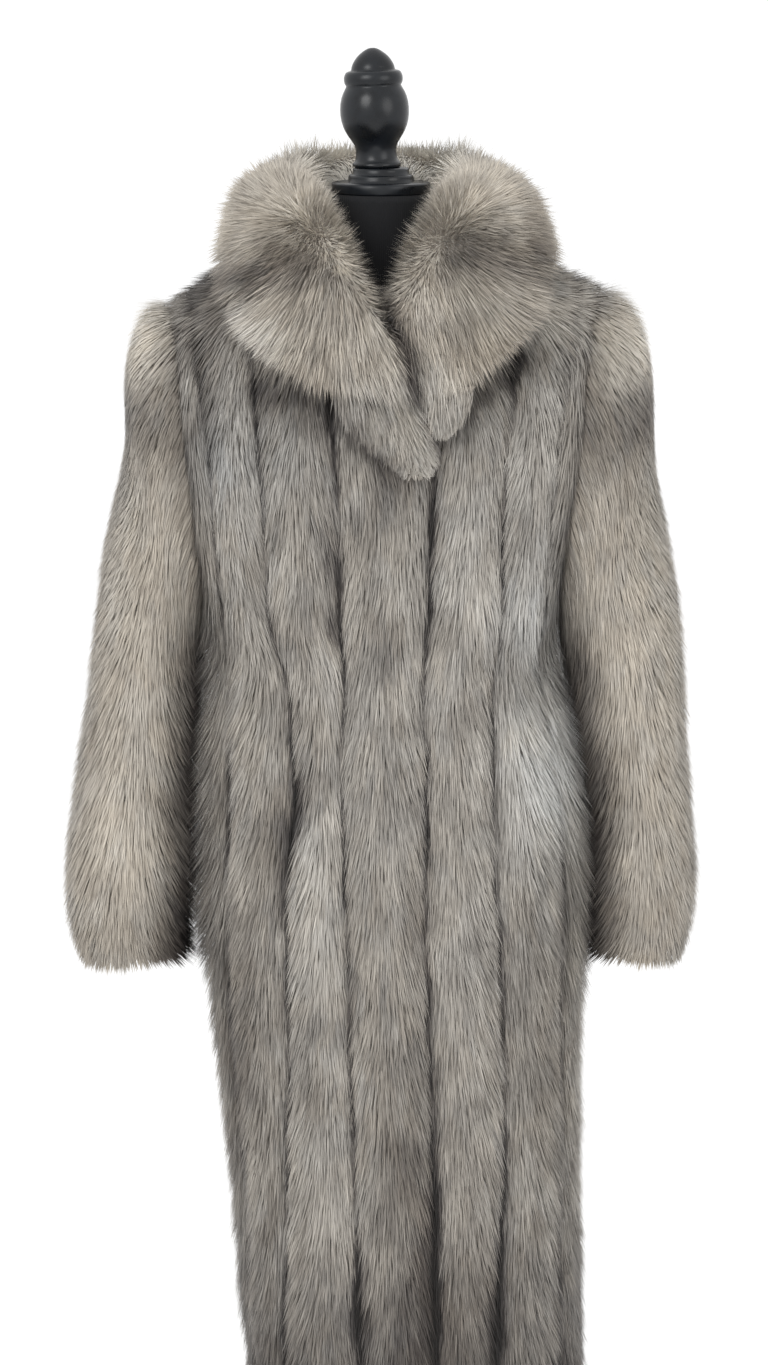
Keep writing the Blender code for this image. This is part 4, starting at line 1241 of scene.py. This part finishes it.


# A lapel: its hair lies one way, shorter at the foot, with painted shade to its edges, most where the lapels
# meet.
def furLapel(node, table, seed, tipTrim, way, edgeWay, meetsAt, outerPaintedShade):
    layers = ("skin", "inside", "roots", "ends")
    outer, inner, roots, ends = (lapelGrid(table, tipTrim, lapelForm[layer]) for layer in layers)
    outward = outwardOf(roots, inner)
    rows = np.linspace(0, 1, len(roots))[:, None]
    length = (hair["lapelLength"] * (1 - 0.92 * (1 - rows) ** 1.5))[..., None]
    share = np.linspace(0, 1, roots.shape[1])[None, :]
    fromMeeting = np.abs(share - meetsAt)
    ways = unit(lerp(np.array(way), np.array(edgeWay), fromMeeting[..., None]))
    reach = settle(roots + ways * length + outward * 0.3 * length, ends, outward, hair["tipHeight"]) - roots
    # Painted shade where the lapels meet and along the outer edge.
    tone = hair["creamTone"] + 0.06 - 0.42 * np.exp(-fromMeeting / 0.07)
    tone = tone - outerPaintedShade * np.exp(-np.abs(share - 1 + meetsAt) / 0.30)
    ground = makeGround(roots, outward, reach, tone=tone, warm=hair["creamWarm"] - 0.20)
    fur = growFur(node + "_hair", ground, {**lapelHair, "Seed": seed})
    addFurPiece(node, outer, inner, fur)


furCollar()
furLapel("lapel_right", lapelRightTable, 41, tipTrim=0.010, way=(0.55, 0.0, -0.83), edgeWay=(0.05, 0.0, -1.0),
         meetsAt=1.0, outerPaintedShade=0.34)
furLapel("lapel_left", lapelLeftTable, 42, tipTrim=0.012, way=(0.15, 0.0, -0.99), edgeWay=(-0.20, 0.0, -0.98),
         meetsAt=0.0, outerPaintedShade=0.14)


print("stage: dress form and stand")


# Fine black knit over a hard shell: ribs of loops about 2 mm apart.
def makeJerseyMaterial():
    made, tree, shader = newMaterial("black_cotton_jersey", {
        "Roughness": 0.92, "Sheen Weight": 0.09, "Sheen Roughness": 0.4})
    place = placeNode(tree)
    ribs = bandsNode(tree, place, "X", 160, 0.6, 1)["Fac"]
    fuzz = noiseNode(tree, place, 900, 2)
    height = addNode(tree, "ShaderNodeMath", {"operation": "ADD"}, {0: ribs, 1: fuzz}).outputs[0]
    colour = rampNode(tree, fuzz, ((0.3, "#08090c"), (0.7, "#111216")))
    finishSurface(tree, shader, colour, height, 0.35, 0.0004)
    return made


# Black lacquer on turned wood: satin, with slow dull and bright places and faint turning rings.
def makeLacquerMaterial():
    made, tree, shader = newMaterial("black_lacquered_wood", {"Specular IOR Level": 0.35})
    place = placeNode(tree)
    cloud = noiseNode(tree, place, 45, 5, 0.6)
    dull = addNode(tree, "ShaderNodeMapRange", inputs={"Value": cloud, 1: 0.3, 2: 0.7, 3: 0.22, 4: 0.38})
    tree.links.new(dull.outputs[0], shader.inputs["Roughness"])
    turning = bandsNode(tree, place, "Z", 320, 2, 2)["Fac"]
    colour = rampNode(tree, cloud, ((0.35, "#0a0d11"), (0.65, "#14181d")))
    finishSurface(tree, shader, colour, turning, 0.06, 0.0003)
    return made


# Black painted steel: satin, a slight orange peel.
def makePaintedSteelMaterial():
    made, tree, shader = newMaterial("black_painted_steel", {"Roughness": 0.38})
    peel = noiseNode(tree, placeNode(tree), 500, 2)
    colour = rampNode(tree, peel, ((0.3, "#19191a"), (0.7, "#1f1f20")))
    finishSurface(tree, shader, colour, peel, 0.1, 0.0003)
    return made


jerseyMaterial = makeJerseyMaterial()
lacquerMaterial = makeLacquerMaterial()
steelMaterial = makePaintedSteelMaterial()


# A closed body through rings of points, with flat ends.
def makeRings(name, rings, material):
    corners = gridCorners(np.shape(rings), True)
    ends = [tuple(reversed(corners[0, :-1].tolist())), tuple(corners[-1, :-1].tolist())]
    return addMesh(name, rings, ends + gridFaces(corners), [material])


formTable = makeTable(
    "z halfWidth front back",
    (760, 60, 45, 50),
    (768, 100, 74, 80),
    (790, 128, 94, 100),
    (830, 139, 102, 110),
    (890, 140, 102, 109),
    (980, 122, 92, 98),
    (1060, 113, 88, 90),
    (1140, 124, 97, 92),
    (1220, 137, 104, 92),
    (1290, 145, 96, 90),
    (1350, 146, 80, 82),
    (1385, 132, 68, 72),
    (1408, 102, 60, 64),
    (1428, 70, 53, 57),
    (1450, 53, 48, 52),
    (1485, 47, 46, 48),
    (1521, 46, 46, 46),
)


def formRings(around=72):
    at = makeCurve(formTable)
    heights = np.unique(np.concatenate([np.linspace(0.760, 1.380, 44), np.linspace(1.380, 1.521, 22)]))
    turns = np.arange(around) * 2 * math.pi / around
    rings = []
    for z in heights:
        row = at(z)
        depth = np.where(np.sin(turns) > 0, row.back, row.front)
        ring = row.halfWidth * np.cos(turns), depth * np.sin(turns), np.full(around, z)
        rings.append(np.stack(ring, axis=1))
    return rings


# Turned wood and steel, up from the piece's foot.
turnedColumns = "height radius"
capTable = makeTable(
    turnedColumns,
    (0, 44.5), (0.5, 45.9), (1.4, 46.5), (8.3, 46.5), (9.4, 46), (10, 44.8), (10.1, 31.8), (10.4, 30.8),
    (14.6, 30.6), (16, 30.2), (16.8, 29.2), (17, 27.6), (17.3, 26.8), (21.3, 26.6), (22.6, 26),
    (23.5, 24.5),
)
finialTable = makeTable(
    turnedColumns,
    (-0.9, 20.6), (-0.6, 21.9), (0.2, 22.6), (1.6, 22.8), (3, 22.5), (4, 21.5), (5.2, 20.3),
    (7.5, 19.5), (11, 19), (15, 19), (18.5, 19.6), (21.5, 21), (25, 23.3), (28.5, 25.7), (32.5, 28),
    (37, 29.9), (42, 31.3), (47.5, 32.1), (53, 32.2), (58.5, 31.7), (64, 30.4), (68, 28.8),
    (71.5, 26.9), (73.3, 25.9), (74.2, 25.6), (75.2, 26.2), (77, 27.1), (79.5, 27.5), (82, 27.4),
    (84.5, 26.7), (86.5, 25.5), (87.6, 23.6), (88.1, 21.2), (89, 20.5), (91.5, 20), (94.5, 18.8),
    (97.5, 17), (100.5, 14.7), (103.2, 11.8), (105.3, 9), (106.9, 6.4), (108, 4), (108.5, 1.8),
)
baseTable = makeTable(
    turnedColumns,
    (0, 185), (0.8, 188.2), (3, 190), (18, 190), (20.8, 188.8), (24, 184), (26.2, 174), (28, 150),
    (29.2, 105), (30, 60), (32.2, 40), (36, 30), (43, 25.6), (50, 24), (60, 23),
)
poleTable = makeTable(turnedColumns, (0, 15), (699.4, 15))
stand = {
    "capFoot": 1.5213, "finialGap": 0.0012, "finialShift": 0.004, "finialLean": math.radians(2.2),
    "finialSeat": 0.004,  # the lean sets in over this height, so the foot sits flat
    "poleFoot": 0.0603,
}


def addTurned(node, table, foot, material, around=72, shift=0.0, lean=0.0):
    turns = np.arange(around) * 2 * math.pi / around
    rings = []
    for height, radius in table:
        x, y, z = radius * np.cos(turns), radius * np.sin(turns), np.full(around, float(height))
        tilt = lean * min(max(height / stand["finialSeat"], 0.0), 1.0)
        bent = x * math.cos(tilt) - z * math.sin(tilt), y, z * math.cos(tilt) + x * math.sin(tilt)
        rings.append(np.stack(bent, axis=1) + np.array((-shift, 0, foot)))
    dressNode(makeRings(node + "_turned", rings, material), node)


torso = makeRings("form_jersey", formRings(), jerseyMaterial)
dressNode(torso, "form_torso")
finialFoot = stand["capFoot"] + capTable[-1].height + stand["finialGap"]
addTurned("neck_cap", capTable, stand["capFoot"], lacquerMaterial)
addTurned("finial", finialTable, finialFoot, lacquerMaterial,
          shift=stand["finialShift"], lean=stand["finialLean"])
addTurned("base", baseTable, 0.0, lacquerMaterial, 96)
addTurned("pole", poleTable, stand["poleFoot"], steelMaterial, 40)
bpy.data.objects.remove(strand)


print("stage: floor and light")


def makeFloor():
    matte = newMaterial("white_floor", {
        "Base Color": (0.95, 0.95, 0.95, 1), "Roughness": 1.0, "Specular IOR Level": 0.0})[0]
    corners = [(-30, -30, 0), (30, -30, 0), (30, 30, 0), (-30, 30, 0)]
    addMesh("floor", corners, [(0, 1, 2, 3)], [matte], smooth=False)


Lamp = namedtuple("Lamp", "name x y z size power")
lamps = (
    Lamp("key", -1.6, -2.6, 3.0, 1.8, 45.0),
    Lamp("fill", 2.2, -2.2, 2.2, 2.0, 20.0),
)


def addLamps():
    for lamp in lamps:
        data = bpy.data.lights.new(lamp.name, "AREA")
        data.shape = "DISK"
        data.size = lamp.size
        data.energy = lamp.power
        made = addObject(lamp.name, data)
        made.location = (lamp.x, lamp.y, lamp.z)
        aim = Vector((0, 0, 1.0)) - Vector((lamp.x, lamp.y, lamp.z))
        made.rotation_euler = aim.to_track_quat("-Z", "Y").to_euler()


world = bpy.data.worlds.new("studio")
world.use_nodes = True
world.node_tree.nodes["Background"].inputs["Color"].default_value = (1, 1, 1, 1)
world.node_tree.nodes["Background"].inputs["Strength"].default_value = 1.1
bpy.context.scene.world = world
bpy.context.scene.view_settings.view_transform = "Standard"
makeFloor()
addLamps()
